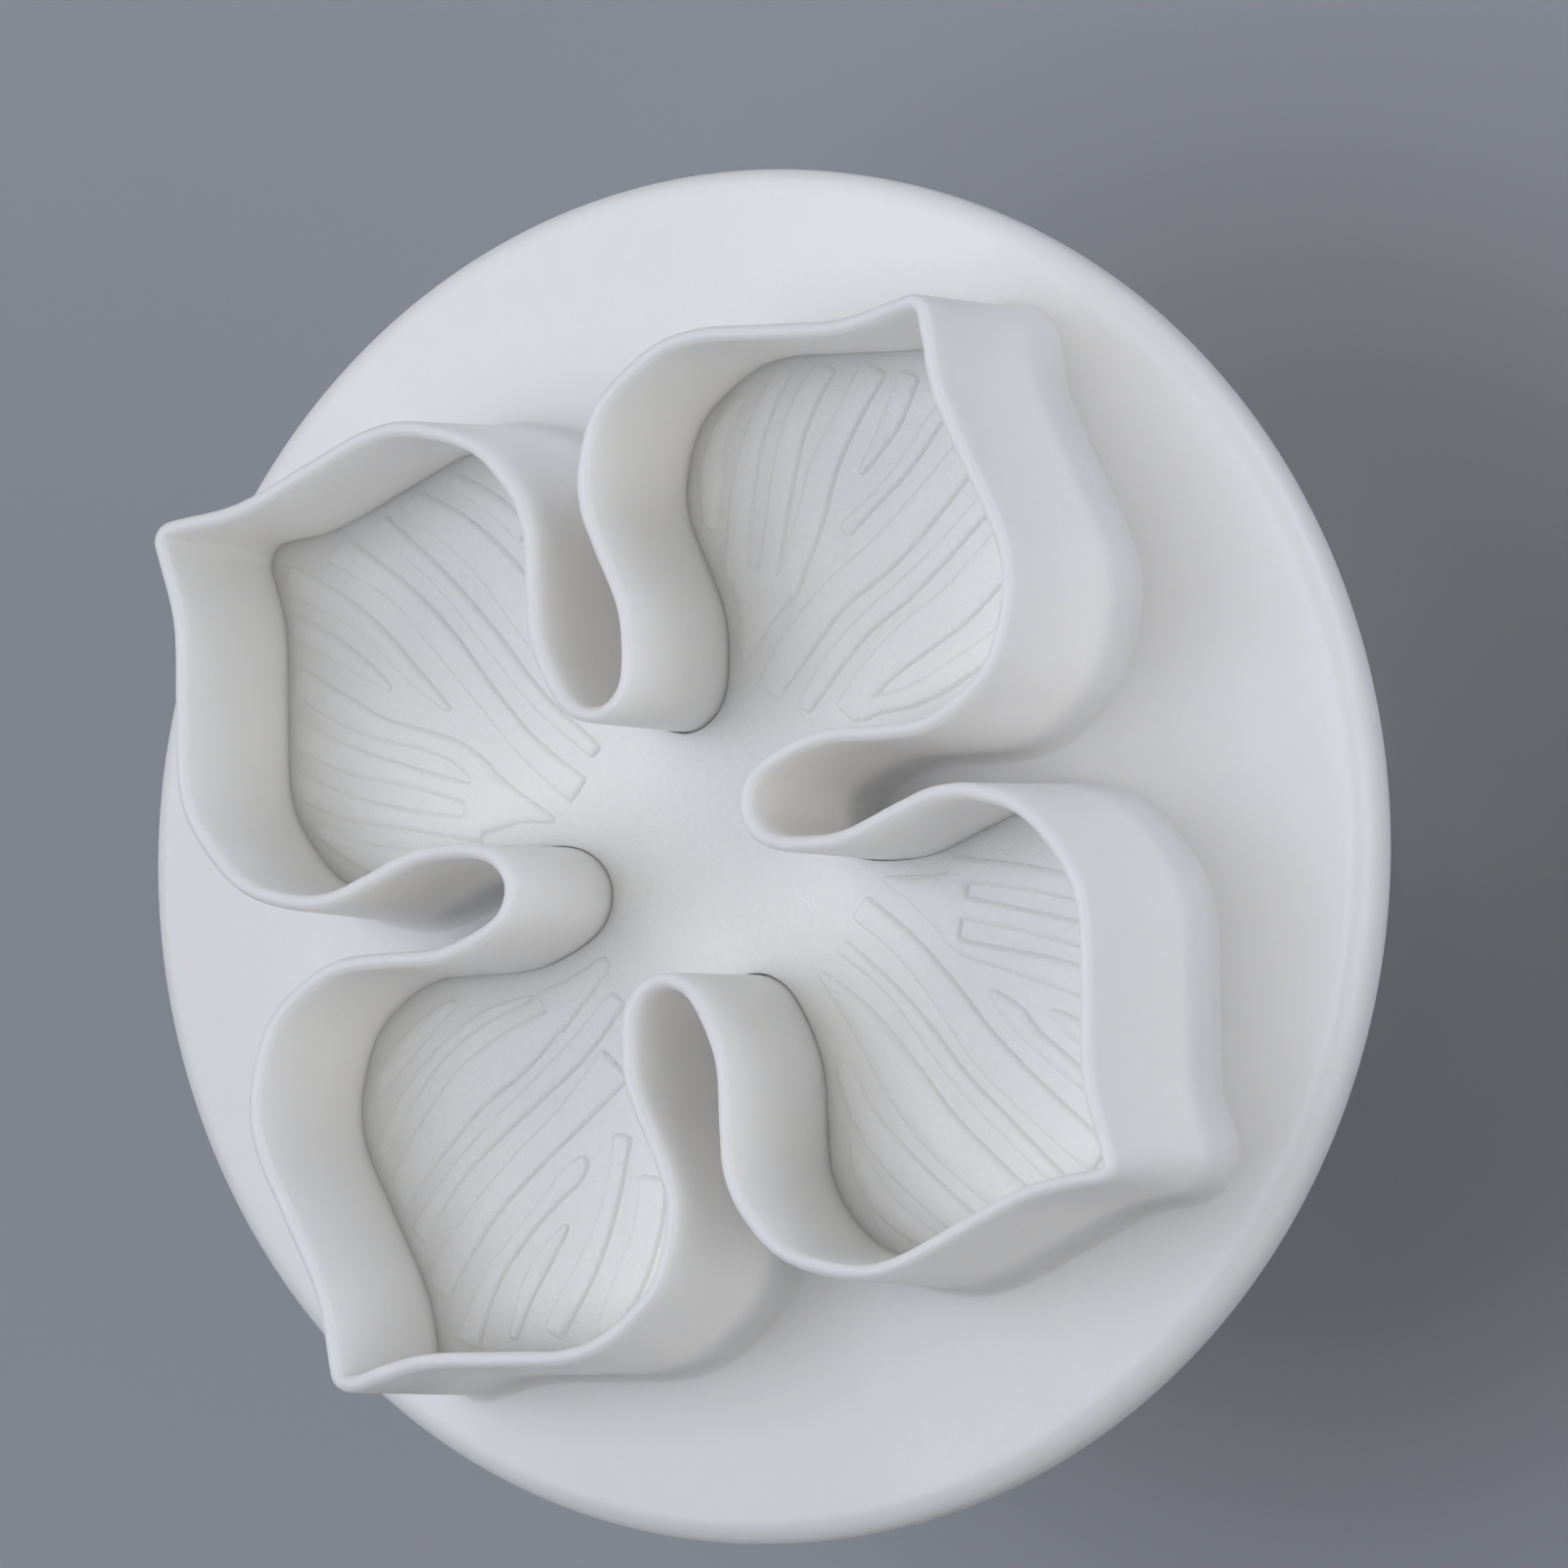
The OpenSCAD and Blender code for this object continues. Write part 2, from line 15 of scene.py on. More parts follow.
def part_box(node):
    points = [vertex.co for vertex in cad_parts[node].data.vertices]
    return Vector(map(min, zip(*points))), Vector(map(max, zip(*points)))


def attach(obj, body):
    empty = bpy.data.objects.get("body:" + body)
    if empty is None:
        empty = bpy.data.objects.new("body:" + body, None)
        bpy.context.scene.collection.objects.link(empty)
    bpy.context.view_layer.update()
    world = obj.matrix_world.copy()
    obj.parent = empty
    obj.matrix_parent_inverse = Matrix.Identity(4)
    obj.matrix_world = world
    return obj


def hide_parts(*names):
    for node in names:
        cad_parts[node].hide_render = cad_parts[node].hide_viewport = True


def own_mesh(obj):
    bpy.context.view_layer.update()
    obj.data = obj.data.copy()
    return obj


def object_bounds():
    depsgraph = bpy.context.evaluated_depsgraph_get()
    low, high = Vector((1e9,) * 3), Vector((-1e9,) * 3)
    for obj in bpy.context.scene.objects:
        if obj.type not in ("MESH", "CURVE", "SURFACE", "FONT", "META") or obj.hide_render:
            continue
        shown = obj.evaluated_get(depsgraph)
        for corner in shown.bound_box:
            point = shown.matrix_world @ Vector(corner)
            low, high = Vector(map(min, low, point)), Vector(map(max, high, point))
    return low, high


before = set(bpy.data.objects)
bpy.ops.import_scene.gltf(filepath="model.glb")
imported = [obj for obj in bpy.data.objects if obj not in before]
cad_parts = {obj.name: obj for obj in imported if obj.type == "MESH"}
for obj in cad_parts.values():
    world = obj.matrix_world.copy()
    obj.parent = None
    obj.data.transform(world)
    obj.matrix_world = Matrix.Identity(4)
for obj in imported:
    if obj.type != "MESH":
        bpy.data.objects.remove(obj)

CAD_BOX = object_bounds()
MM = 0.001
JOIN = 1e-5
LOG = logging.getLogger("plunger_cutter")

Point = tuple[float, float]
Band = tuple[float, float, float]
Colour = tuple[float, float, float]


class Body(Enum):
    """Rigid bodies of the cutter that a piece can ride on."""

    CUTTER = "cutter"
    PLUNGER = "plunger"


class Slot(Enum):
    """Names of the record's material slots, one for each finish."""

    CUTTER = "cutter_plastic"
    PLATE = "plate_plastic"
    KNOB = "knob_plastic"
    STEEL = "steel"


def linear(colour: Colour) -> tuple[float, float, float, float]:
    """Turn a display colour into the linear colour that a shader takes.

    Args:
        colour: Red, green and blue as they look on a display, from 0 to 1.

    Returns:
        The same colour in linear light, with full alpha.
    """
    red, green, blue = (c / 12.92 if c <= 0.04045 else ((c + 0.055) / 1.055) ** 2.4 for c in colour)
    return (red, green, blue, 1.0)


def turned(point: Point, degrees: float) -> Point:
    """Turn a point about the plunger axis.

    Args:
        point: Place across the axis, in millimetres.
        degrees: Angle, anticlockwise seen from the cutting edge.

    Returns:
        The turned point.
    """
    c = math.cos(math.radians(degrees))
    s = math.sin(math.radians(degrees))
    return (point[0] * c - point[1] * s, point[0] * s + point[1] * c)


def curve_through(points: Sequence[Sequence[float]], steps: int) -> list[tuple[float, ...]]:
    """Sample the smooth curve that passes through every given point.

    Args:
        points: Points in order along an open line, all with the same number of values.
        steps: Samples in each stretch between two points.

    Returns:
        The samples, with the last given point at the end.
    """
    values = range(len(points[0]))
    first = tuple(2 * points[0][k] - points[1][k] for k in values)
    last = tuple(2 * points[-1][k] - points[-2][k] for k in values)
    line = [first, *points, last]
    out: list[tuple[float, ...]] = []
    for i in range(len(points) - 1):
        a, b, c, d = line[i], line[i + 1], line[i + 2], line[i + 3]
        for s in range(steps):
            t = s / steps
            out.append(tuple(
                0.5 * (2 * b[k] + (c[k] - a[k]) * t + (2 * a[k] - 5 * b[k] + 4 * c[k] - d[k]) * t * t
                       + (3 * b[k] - a[k] - 3 * c[k] + d[k]) * t ** 3)
                for k in values))
    out.append(tuple(points[-1]))
    return out


def normals_of(line: Sequence[Point], closed: bool) -> list[Point]:
    """Find the outward mitre direction at each point of an anticlockwise line.

    Args:
        line: Points of the line.
        closed: Whether the last point joins the first.

    Returns:
        One vector for each point, as long as a mitre of unit offset.
    """
    count = len(line)
    out: list[Point] = []
    for i, here in enumerate(line):
        before = line[(i - 1) % count] if closed or i > 0 else here
        after = line[(i + 1) % count] if closed or i < count - 1 else here
        legs = [(here[0] - before[0], here[1] - before[1]), (after[0] - here[0], after[1] - here[1])]
        units = [(y / math.hypot(x, y), -x / math.hypot(x, y)) for x, y in legs if math.hypot(x, y) > 1e-9]
        a, b = units[0], units[-1]
        share = 1 + a[0] * b[0] + a[1] * b[1]
        out.append(((a[0] + b[0]) / share, (a[1] + b[1]) / share))
    return out


def moved(line: Sequence[Point], distance: float) -> list[Point]:
    """Move a closed line sideways by a distance.

    Args:
        line: Points of an anticlockwise line.
        distance: How far outward, in the line's units.

    Returns:
        The moved line.
    """
    return [(p[0] + distance * n[0], p[1] + distance * n[1]) for p, n in zip(line, normals_of(line, True))]


@dataclass(frozen=True)
class FlowerOutline:
    """Middle line of the cutting lip: four alike petals, each its own mirror image.

    The valley runs from the nose between two petals to the straight stretch that ends at the petal's apex.
    """

    apex: Point = (19.3, 19.3)
    valley: tuple[Point, ...] = (
        (5.95, 0.0), (6.4, 1.12), (7.6, 1.82), (10.1, 2.22), (13.0, 1.72), (14.9, 1.48), (16.8, 1.93),
        (18.9, 3.3), (20.35, 6.0), (20.6, 8.3), (19.9, 11.6), (19.15, 15.2))

    def line(self, tip_round: float, steps: int, tip_steps: int) -> list[Point]:
        """Sample the closed outline, anticlockwise seen from the cutting edge.

        Args:
            tip_round: Radius of the rounding at each petal tip.
            steps: Samples in each stretch between two outline points.
            tip_steps: Samples round each petal tip.

        Returns:
            Points in millimetres.
        """
        apex = self.apex
        run = (apex[0] - self.valley[-1][0], apex[1] - self.valley[-1][1])
        length = math.hypot(*run)
        lean = math.atan2(run[1], run[0]) - math.pi / 4
        back = tip_round / math.tan(lean) / length
        end = (apex[0] - run[0] * back, apex[1] - run[1] * back)
        upper = [*self.valley[1:], end]
        lower = [(u, -v) for u, v in reversed(upper)]
        valley = curve_through([*lower, self.valley[0], *upper], steps)
        middle = math.hypot(*apex) - tip_round / math.sin(lean)
        swing = math.pi / 2 - lean
        tip = []
        for s in range(1, tip_steps):
            angle = -swing + 2 * swing * s / tip_steps
            tip.append((middle + tip_round * math.cos(angle), tip_round * math.sin(angle)))
        out: list[Point] = []
        for quarter in range(4):
            out += [turned(p, 90 * quarter) for p in valley]
            out += [turned(p, 90 * quarter + 45) for p in tip]
        return out


def within(places: np.ndarray, outline: np.ndarray) -> np.ndarray:
    """Tell which points lie inside a closed outline.

    Args:
        places: Points across the axis, one in each row.
        outline: Corners of the outline.

    Returns:
        Whether each point lies inside.
    """
    inside = np.zeros(len(places), dtype=bool)
    for (ax, ay), (bx, by) in zip(outline, np.roll(outline, -1, axis=0)):
        if ay != by:
            crossed = (ay > places[:, 1]) != (by > places[:, 1])
            inside ^= crossed & (places[:, 0] < (bx - ax) * (places[:, 1] - ay) / (by - ay) + ax)
    return inside


def mesh_grid(reach: float, pitch: float) -> list[Point]:
    """Spread points evenly, in staggered rows set off from the axis, so that none meets a round row's corner.

    Args:
        reach: How far they go from the axis.
        pitch: Space between two neighbours.

    Returns:
        The points.
    """
    aside = (0.23, 0.31)
    row_pitch = 0.866
    count = int(reach / pitch)
    return [((i + 0.5 * (j % 2) + aside[0]) * pitch, (j + aside[1]) * pitch * row_pitch)
            for i in range(-count, count + 1) for j in range(-count, count + 1)]


def ring(radius: float, height: float, count: int) -> list[tuple[float, float, float]]:
    """Place points evenly round the plunger axis.

    Args:
        radius: Their distance from the axis.
        height: Their level.
        count: How many there are.

    Returns:
        The points, in millimetres.
    """
    angles = [2 * math.pi * k / count for k in range(count)]
    return [(radius * math.cos(a), radius * math.sin(a), height) for a in angles]


@dataclass
class Skin:
    """Corners and faces of one piece, gathered row by row, in millimetres."""

    corners: list[Sequence[float]] = field(default_factory=list)
    faces: list[Sequence[int]] = field(default_factory=list)
    reach: float = 35.0

    def row(self, points: Iterable[Sequence[float]]) -> list[int]:
        """Add a row of corners.

        Args:
            points: The corners, in millimetres.

        Returns:
            Their numbers.
        """
        first = len(self.corners)
        self.corners.extend(points)
        return list(range(first, len(self.corners)))

    def join(self, rows: Sequence[Sequence[int]]) -> None:
        """Join closed rows with faces, each row to the next.

        Args:
            rows: Corner numbers of each row, the upper first where the faces look outward. A row that repeats
                one corner closes the piece on the axis.
        """
        for upper, lower in zip(rows, rows[1:]):
            for i in range(len(upper)):
                j = (i + 1) % len(upper)
                corners = tuple(dict.fromkeys((upper[i], lower[i], lower[j], upper[j])))
                if len(corners) > 2:
                    self.faces.append(corners)

    def fill(self, outer: Sequence[int], hole: Sequence[int], pitch: float) -> None:
        """Fill the level ground between two closed rows.

        Args:
            outer: Corner numbers of the outer row, anticlockwise.
            hole: Corner numbers of the inner row, anticlockwise.
            pitch: Space between the corners that are added.
        """
        both = [*outer, *hole]
        level = self.corners[outer[0]][2]
        points = [self.corners[k][:2] for k in both] + mesh_grid(self.reach, pitch)
        turn = len(outer)
        edges = [(i, (i + 1) % turn) for i in range(turn)]
        edges += [(turn + i, turn + (i + 1) % len(hole)) for i in range(len(hole))]
        found = delaunay_2d_cdt([Vector(p) for p in points], edges, [list(range(turn))], 1, JOIN)
        places = np.array([p[:] for p in found[0]])
        trios = np.array(found[2])
        kept = trios[~within(places[trios].mean(axis=1), np.array([self.corners[k][:2] for k in hole]))]
        number = {}
        for i in np.unique(kept):
            known = [both[k] for k in found[3][i] if k < len(both)]
            number[i] = known[0] if known else self.row([(*places[i], level)])[0]
        self.faces += [tuple(number[i] for i in trio) for trio in kept]

    def piece(self, name: str, sharp_degrees: float = 40.0) -> bpy.types.Object:
        """Make the shaded piece.

        Args:
            name: Name of the piece.
            sharp_degrees: Angle past which an edge stays crisp.

        Returns:
            The new object, linked to the scene.
        """
        mesh = bpy.data.meshes.new(name)
        mesh.from_pydata([Vector(p) * MM for p in self.corners], [], self.faces)
        mesh.validate()
        mesh.update()
        mesh.shade_smooth()
        mesh.set_sharp_from_angle(angle=math.radians(sharp_degrees))
        made = bpy.data.objects.new(name, mesh)
        bpy.context.scene.collection.objects.link(made)
        LOG.info("%s: %d points, %d faces", name, len(mesh.vertices), len(mesh.polygons))
        return made


def turned_piece(name: str, profile: Sequence[Point], around: int = 192) -> bpy.types.Object:
    """Turn a closed profile about the plunger axis.

    Args:
        name: Name of the piece.
        profile: Radius and height of each corner, anticlockwise with the radius to the right. A corner on the
            axis becomes a single point.
        around: Number of steps round the axis.

    Returns:
        The new object.
    """
    skin = Skin()
    rows = [skin.row(ring(x, z, around)) if x > 0 else skin.row([(0.0, 0.0, z)]) * around for x, z in profile]
    skin.join([rows[0], *reversed(rows)])
    return skin.piece(name)


def arc(centre: Point, radius: float, start: float, end: float, steps: int) -> list[Point]:
    """Sample a round stretch of a profile.

    Args:
        centre: Middle of the arc.
        radius: Its radius.
        start: First angle, in degrees.
        end: Last angle, in degrees.
        steps: Number of steps along it.

    Returns:
        The points, both ends included.
    """
    out = []
    for s in range(steps + 1):
        angle = math.radians(start + (end - start) * s / steps)
        out.append((centre[0] + radius * math.cos(angle), centre[1] + radius * math.sin(angle)))
    return out


def node(tree: bpy.types.NodeTree, kind: str, inputs: dict[str | int, object],
         **settings: object) -> bpy.types.Node:
    """Place a shader node and feed its inputs.

    Args:
        tree: The node tree that it goes in.
        kind: Its type, without the word that all shader nodes start with.
        inputs: For each input, by name or number, its value or the output that feeds it.
        settings: The node's own settings.

    Returns:
        The placed node.
    """
    made = tree.nodes.new("ShaderNode" + kind)
    for label, value in settings.items():
        setattr(made, label, value)
    for label, value in inputs.items():
        if isinstance(value, bpy.types.NodeSocket):
            tree.links.new(value, made.inputs[label])
        else:
            made.inputs[label].default_value = value
    return made


class ShaderWork:
    """Node groups that the finishes share, each built once."""

    @staticmethod
    def start(name: str, inputs: dict[str, object], outputs: dict[str, str]) -> bpy.types.NodeTree:
        """Open a node group with named sockets.

        Args:
            name: Name of the group.
            inputs: First value of each input: a number, or four of them for a colour.
            outputs: Kind of each output, Color or Float.

        Returns:
            The group, with nodes named in and out.
        """
        tree = bpy.data.node_groups.new(name, "ShaderNodeTree")
        for label, value in inputs.items():
            kind = "Float" if isinstance(value, float) else "Color"
            made = tree.interface.new_socket(label, in_out="INPUT", socket_type="NodeSocket" + kind)
            made.default_value = value
        for label, kind in outputs.items():
            tree.interface.new_socket(label, in_out="OUTPUT", socket_type="NodeSocket" + kind)
        tree.nodes.new("NodeGroupInput").name = "in"
        tree.nodes.new("NodeGroupOutput").name = "out"
        return tree

    @staticmethod
    @cache
    def mottle() -> bpy.types.NodeTree:
        """Build the soft clouding of moulded plastic.

        Returns:
            A group with a colour output.
        """
        tree = ShaderWork.start("moulded_mottle", {
            "Base": (0.7, 0.7, 0.7, 1.0), "Cloud": (0.6, 0.6, 0.6, 1.0), "Size": 300.0, "Strength": 0.3},
            {"Color": "Color"})
        given = tree.nodes["in"].outputs
        place = node(tree, "TexCoord", {})
        cloud = node(tree, "TexNoise", {
            "Detail": 6.0, "Roughness": 0.62, "Vector": place.outputs["Object"], "Scale": given["Size"]})
        ramp = node(tree, "MapRange", {"From Min": 0.35, "From Max": 0.7, "Value": cloud.outputs["Fac"]})
        share = node(tree, "Math", {0: ramp.outputs["Result"], 1: given["Strength"]}, operation="MULTIPLY")
        mix = node(tree, "Mix", {"Factor": share.outputs[0], 6: given["Base"], 7: given["Cloud"]},
                   data_type="RGBA")
        tree.links.new(mix.outputs[2], tree.nodes["out"].inputs["Color"])
        return tree

    @staticmethod
    @cache
    def grain() -> bpy.types.NodeTree:
        """Build the fine matte grain of a spark-finished mould.

        Returns:
            A group with a height output and a roughness output.
        """
        tree = ShaderWork.start("mould_grain", {
            "Size": 4000.0, "Wave": 120.0, "Wave Share": 0.5, "Roughness": 0.4, "Spread": 0.1},
            {"Height": "Float", "Roughness": "Float"})
        given, out = tree.nodes["in"].outputs, tree.nodes["out"].inputs
        place = node(tree, "TexCoord", {}).outputs["Object"]
        fine = node(tree, "TexNoise", {"Detail": 3.0, "Vector": place, "Scale": given["Size"]})
        wave = node(tree, "TexNoise", {"Detail": 2.0, "Vector": place, "Scale": given["Wave"]}).outputs["Fac"]
        height = node(tree, "Math", {0: wave, 1: given["Wave Share"], 2: fine.outputs["Fac"]},
                      operation="MULTIPLY_ADD")
        tree.links.new(height.outputs[0], out["Height"])
        top = node(tree, "Math", {0: given["Roughness"], 1: given["Spread"]})
        rough = node(tree, "MapRange", {
            "Value": wave, "To Min": given["Roughness"], "To Max": top.outputs[0]})
        tree.links.new(rough.outputs["Result"], out["Roughness"])
        return tree

    @staticmethod
    @cache
    def tool_marks() -> bpy.types.NodeTree:
        """Build fine straight cutter marks.

        Returns:
            A group with a height output.
        """
        tree = ShaderWork.start("tool_marks", {"Angle": 0.6, "Pitch": 5000.0, "Patch": 90.0},
                                {"Height": "Float"})
        given = tree.nodes["in"].outputs
        place = node(tree, "TexCoord", {}).outputs["Object"]
        turn = node(tree, "VectorRotate", {"Vector": place, "Angle": given["Angle"]}, rotation_type="Z_AXIS")
        stretch = node(tree, "VectorMath", {0: turn.outputs["Vector"], 1: (0.03, 1.0, 1.0)},
                       operation="MULTIPLY")
        marks = node(tree, "TexNoise", {
            "Detail": 2.0, "Vector": stretch.outputs["Vector"], "Scale": given["Pitch"]})
        patch = node(tree, "TexNoise", {"Vector": place, "Scale": given["Patch"]})
        both = node(tree, "Math", {0: marks.outputs["Fac"], 1: patch.outputs["Fac"]}, operation="MULTIPLY")
        tree.links.new(both.outputs[0], tree.nodes["out"].inputs["Height"])
        return tree


@dataclass(frozen=True)
class Finish:
    """One material: satin white ABS as it comes from a mould, or drawn steel where metal is set.

    Sizes are scales of a noise, depths are in metres. Glow and scatter set how light spreads inside plastic.
    """

    name: str
    base: Colour = (0.952, 0.946, 0.93)
    cloud: Colour = (0.937, 0.926, 0.905)
    cloud_size: float = 420.0
    cloud_strength: float = 0.45
    roughness: float = 0.34
    spread: float = 0.12
    grain_size: float = 5200.0
    grain_depth: float = 0.000012
    marks_depth: float = 0.0
    marks_angle: float = 0.0
    metal: bool = False
    glow: float = 1.0
    scatter: float = 0.0028
    warmth: Colour = (1.0, 0.94, 0.84)
    refraction: float = 1.53

    def material(self) -> bpy.types.Material:
        """Build the material.

        Returns:
            A new material with the finish's own values.
        """
        made = bpy.data.materials.new(self.name)
        made.use_nodes = True
        tree = made.node_tree
        skin = tree.nodes["Principled BSDF"]
        if self.metal:
            skin.inputs["Metallic"].default_value = 1.0
        else:
            skin.inputs["IOR"].default_value = self.refraction
            skin.inputs["Subsurface Weight"].default_value = self.glow
            skin.inputs["Subsurface Radius"].default_value = self.warmth
            skin.inputs["Subsurface Scale"].default_value = self.scatter
        clouds = node(tree, "Group", {
            "Base": linear(self.base), "Cloud": linear(self.cloud), "Size": self.cloud_size,
            "Strength": self.cloud_strength}, node_tree=ShaderWork.mottle())
        tree.links.new(clouds.outputs["Color"], skin.inputs["Base Color"])
        grain = node(tree, "Group", {
            "Size": self.grain_size, "Roughness": self.roughness, "Spread": self.spread},
            node_tree=ShaderWork.grain())
        tree.links.new(grain.outputs["Roughness"], skin.inputs["Roughness"])
        bump = node(tree, "Bump", {"Distance": self.grain_depth, "Height": grain.outputs["Height"]})
        if self.marks_depth > 0:
            marks = node(tree, "Group", {"Angle": self.marks_angle}, node_tree=ShaderWork.tool_marks())
            bump = node(tree, "Bump", {"Distance": self.marks_depth, "Height": marks.outputs["Height"],
                                       "Normal": bump.outputs["Normal"]})
        tree.links.new(bump.outputs["Normal"], skin.inputs["Normal"])
        return made


@dataclass
class Finishes:
    """Every material of the object, built once."""

    wall: bpy.types.Material = field(init=False)
    plate: bpy.types.Material = field(init=False)
    knob: bpy.types.Material = field(init=False)
    steel: bpy.types.Material = field(init=False)

    def __post_init__(self) -> None:
        """Build the materials."""
        self.wall = Finish("wall_abs", roughness=0.32, cloud_strength=0.3).material()
        self.plate = Finish(
            "plate_abs", base=(0.97, 0.968, 0.95), cloud=(0.945, 0.94, 0.915), cloud_size=5000.0,
            cloud_strength=0.6, roughness=0.25, grain_size=7000.0, grain_depth=0.00004, marks_depth=0.00004,
            marks_angle=0.7, glow=0.42, scatter=0.002).material()
        self.knob = Finish("knob_abs").material()
        self.steel = Finish(
            "spring_steel", base=(0.80, 0.80, 0.81), cloud=(0.66, 0.66, 0.67), cloud_size=900.0,
            cloud_strength=0.4, roughness=0.24, grain_size=2600.0, grain_depth=0.000006,
            metal=True).material()


def paint(made: bpy.types.Object, finish: bpy.types.Material) -> None:
    """Give a piece or a node of the model its finish alone.

    Args:
        made: The piece or node.
        finish: Its material.
    """
    made.data.materials.clear()
    made.data.materials.append(finish)


def dress(made: bpy.types.Object, finish: bpy.types.Material, body: Body, slot: Slot,
          *nodes: str) -> bpy.types.Object:
    """Give a piece its finish and its body, and hide the nodes that it stands for.

    Args:
        made: The piece.
        finish: Its material.
        body: The body that it rides on.
        slot: The record's slot that its finish belongs to; not used.
        nodes: The model's nodes that it replaces.

    Returns:
        The same piece.
    """
    paint(made, finish)
    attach(made, body.value)
    if nodes:
        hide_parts(*nodes)
    return made


def heights(node: str) -> tuple[float, float]:
    """Read the lowest and highest level of a node.

    Args:
        node: The node's name.

    Returns:
        Both levels, in millimetres.
    """
    low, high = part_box(node)
    return low[2] / MM, high[2] / MM


def radius_of(node: str) -> float:
    """Read the radius of a round node.

    Args:
        node: The node's name.

    Returns:
        The radius, in millimetres.
    """
    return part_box(node)[1][0] / MM


@dataclass
class CuttingHead:
    """The moulding that cuts: flower-shaped wall, flange, sleeve and gussets.

    The wall's section is given by its inner flank, as distance out from the lip's inner side and share of the
    height, by both edges of the lip, as distance out from its side and drop from its top, by shares of the
    outer flank's height, and by angles round the foot. The waves make the lip uneven: each has the size and
    level of its noise, and its share sideways and downward.
    """

    outline: FlowerOutline
    lip_w: float = 0.66
    draft: float = 0.30
    fillet: float = 0.35
    inner_flank: tuple[Point, ...] = ((-0.12, 0.0), (-0.09, 0.3), (-0.05, 0.6))
    inner_edge: tuple[Point, ...] = ((-0.02, 0.7), (0.0, 0.34), (0.03, 0.18), (0.09, 0.07), (0.17, 0.01))
    outer_edge: tuple[Point, ...] = ((-0.22, 0.01), (-0.13, 0.06), (-0.06, 0.16), (-0.02, 0.30), (0.01, 0.46),
                                     (0.03, 0.7))
    flank_drop: float = 0.9
    flank_rise: float = 2.5
    flank_shares: tuple[float, ...] = (0.8, 0.55, 0.3, 0.0)
    foot_rise: float = 2.0
    foot_angles: tuple[float, ...] = (15.0, 35.0, 55.0, 75.0, 90.0)
    burr: float = 0.5
    wear: float = 0.04
    waves: tuple[Point, ...] = ((0.9, 3.0), (3.1, 9.0))
    wave_side: Point = (0.035, 0.018)
    wave_drop: Point = (0.05, 0.02)
    tip_round: float = 0.6
    foot_tip_round: float = 1.5
    flange_round: float = 1.1
    back_round: float = 0.25
    bore_r: float = 5.05
    sleeve_r: float = 9.5
    cup_r: float = 7.7
    cup_depth: float = 6.0
    mouth_round: float = 0.4
    seat: float = 0.3
    lead: float = 0.2
    steps: int = 9
    tip_steps: int = 10
    flange_steps: int = 256
    ground_pitch: float = 1.0

    def section(self) -> list[Point]:
        """Draw the wall's section from its inner foot over the lip to its outer foot.

        Returns:
            Distance out from the middle line and height over the flange, clockwise.
        """
        foot, edge = heights("cutting_wall")
        high = edge - foot
        half = self.lip_w / 2
        section = [(-half + out, high * share) for out, share in self.inner_flank]
        section += [(-half + out, high - drop) for out, drop in self.inner_edge]
        section += [(0.0, high), *((half + out, high - drop) for out, drop in self.outer_edge)]
        start, low = self.outer_edge[-1][0], self.flank_rise * self.fillet
        section += [(half + start + (self.draft - start) * (1 - k), low + (high - self.flank_drop - low) * k)
                    for k in self.flank_shares]
        angles = [math.radians(a) for a in self.foot_angles]
        section += [(half + self.draft + self.fillet * (1 - math.cos(a)),
                     self.foot_rise * self.fillet * (1 - math.sin(a))) for a in angles]
        return section

    def wall_rows(self) -> list[list[Sequence[float]]]:
        """Place the wall's section round the flower, with the small unevenness of a moulded lip.

        Returns:
            For each corner of the section, its closed row round the flower.
        """
        foot, edge = heights("cutting_wall")
        lip_line = self.outline.line(self.tip_round, self.steps, self.tip_steps)
        foot_line = self.outline.line(self.foot_tip_round, self.steps, self.tip_steps)
        places = list(zip(lip_line, normals_of(lip_line, True), foot_line, normals_of(foot_line, True)))
        rows = []
        for out, up in self.section():
            row = []
            down = 1 - up / (edge - foot)
            near_top = max(0.0, (up - (edge - foot) + self.burr) / self.burr)
            for at_lip, lip_side, at_foot, foot_side in places:
                x, y = (a + (b - a) * down for a, b in zip(at_lip, at_foot))
                nx, ny = (a + (b - a) * down for a, b in zip(lip_side, foot_side))
                waves = [noise.noise(Vector((x * size, y * size, level))) for size, level in self.waves]
                side = out + near_top * sum(share * wave for share, wave in zip(self.wave_side, waves))
                falls = [share * wave for share, wave in zip(self.wave_drop, waves)]
                lift = -near_top * sum(falls, self.wear)
                row.append((x + nx * side, y + ny * side, foot + up + min(0.0, lift)))
            rows.append(row)
        return rows

    def moulding(self) -> bpy.types.Object:
        """Build the flange and the wall that rises from it, as the one moulding that they are.

        Returns:
            The moulding.
        """
        low, high = heights("flange")
        r = radius_of("flange")
        f, b = self.flange_round, self.back_round
        profile = [*reversed(arc((r - f, high - f), f, 0, 90, 12)),
                   *reversed(arc((r - b, low + b), b, -90, 0, 4)), (self.bore_r, low), (self.bore_r, high)]
        skin = Skin()
        walls = [skin.row(row) for row in self.wall_rows()]
        rims = [skin.row(ring(x, z, self.flange_steps)) for x, z in profile]
        skin.join(walls)
        skin.join(rims)
        skin.fill(rims[0], walls[-1], self.ground_pitch)
        skin.fill(walls[0], rims[-1], self.ground_pitch)
        return skin.piece("cutter_moulding")

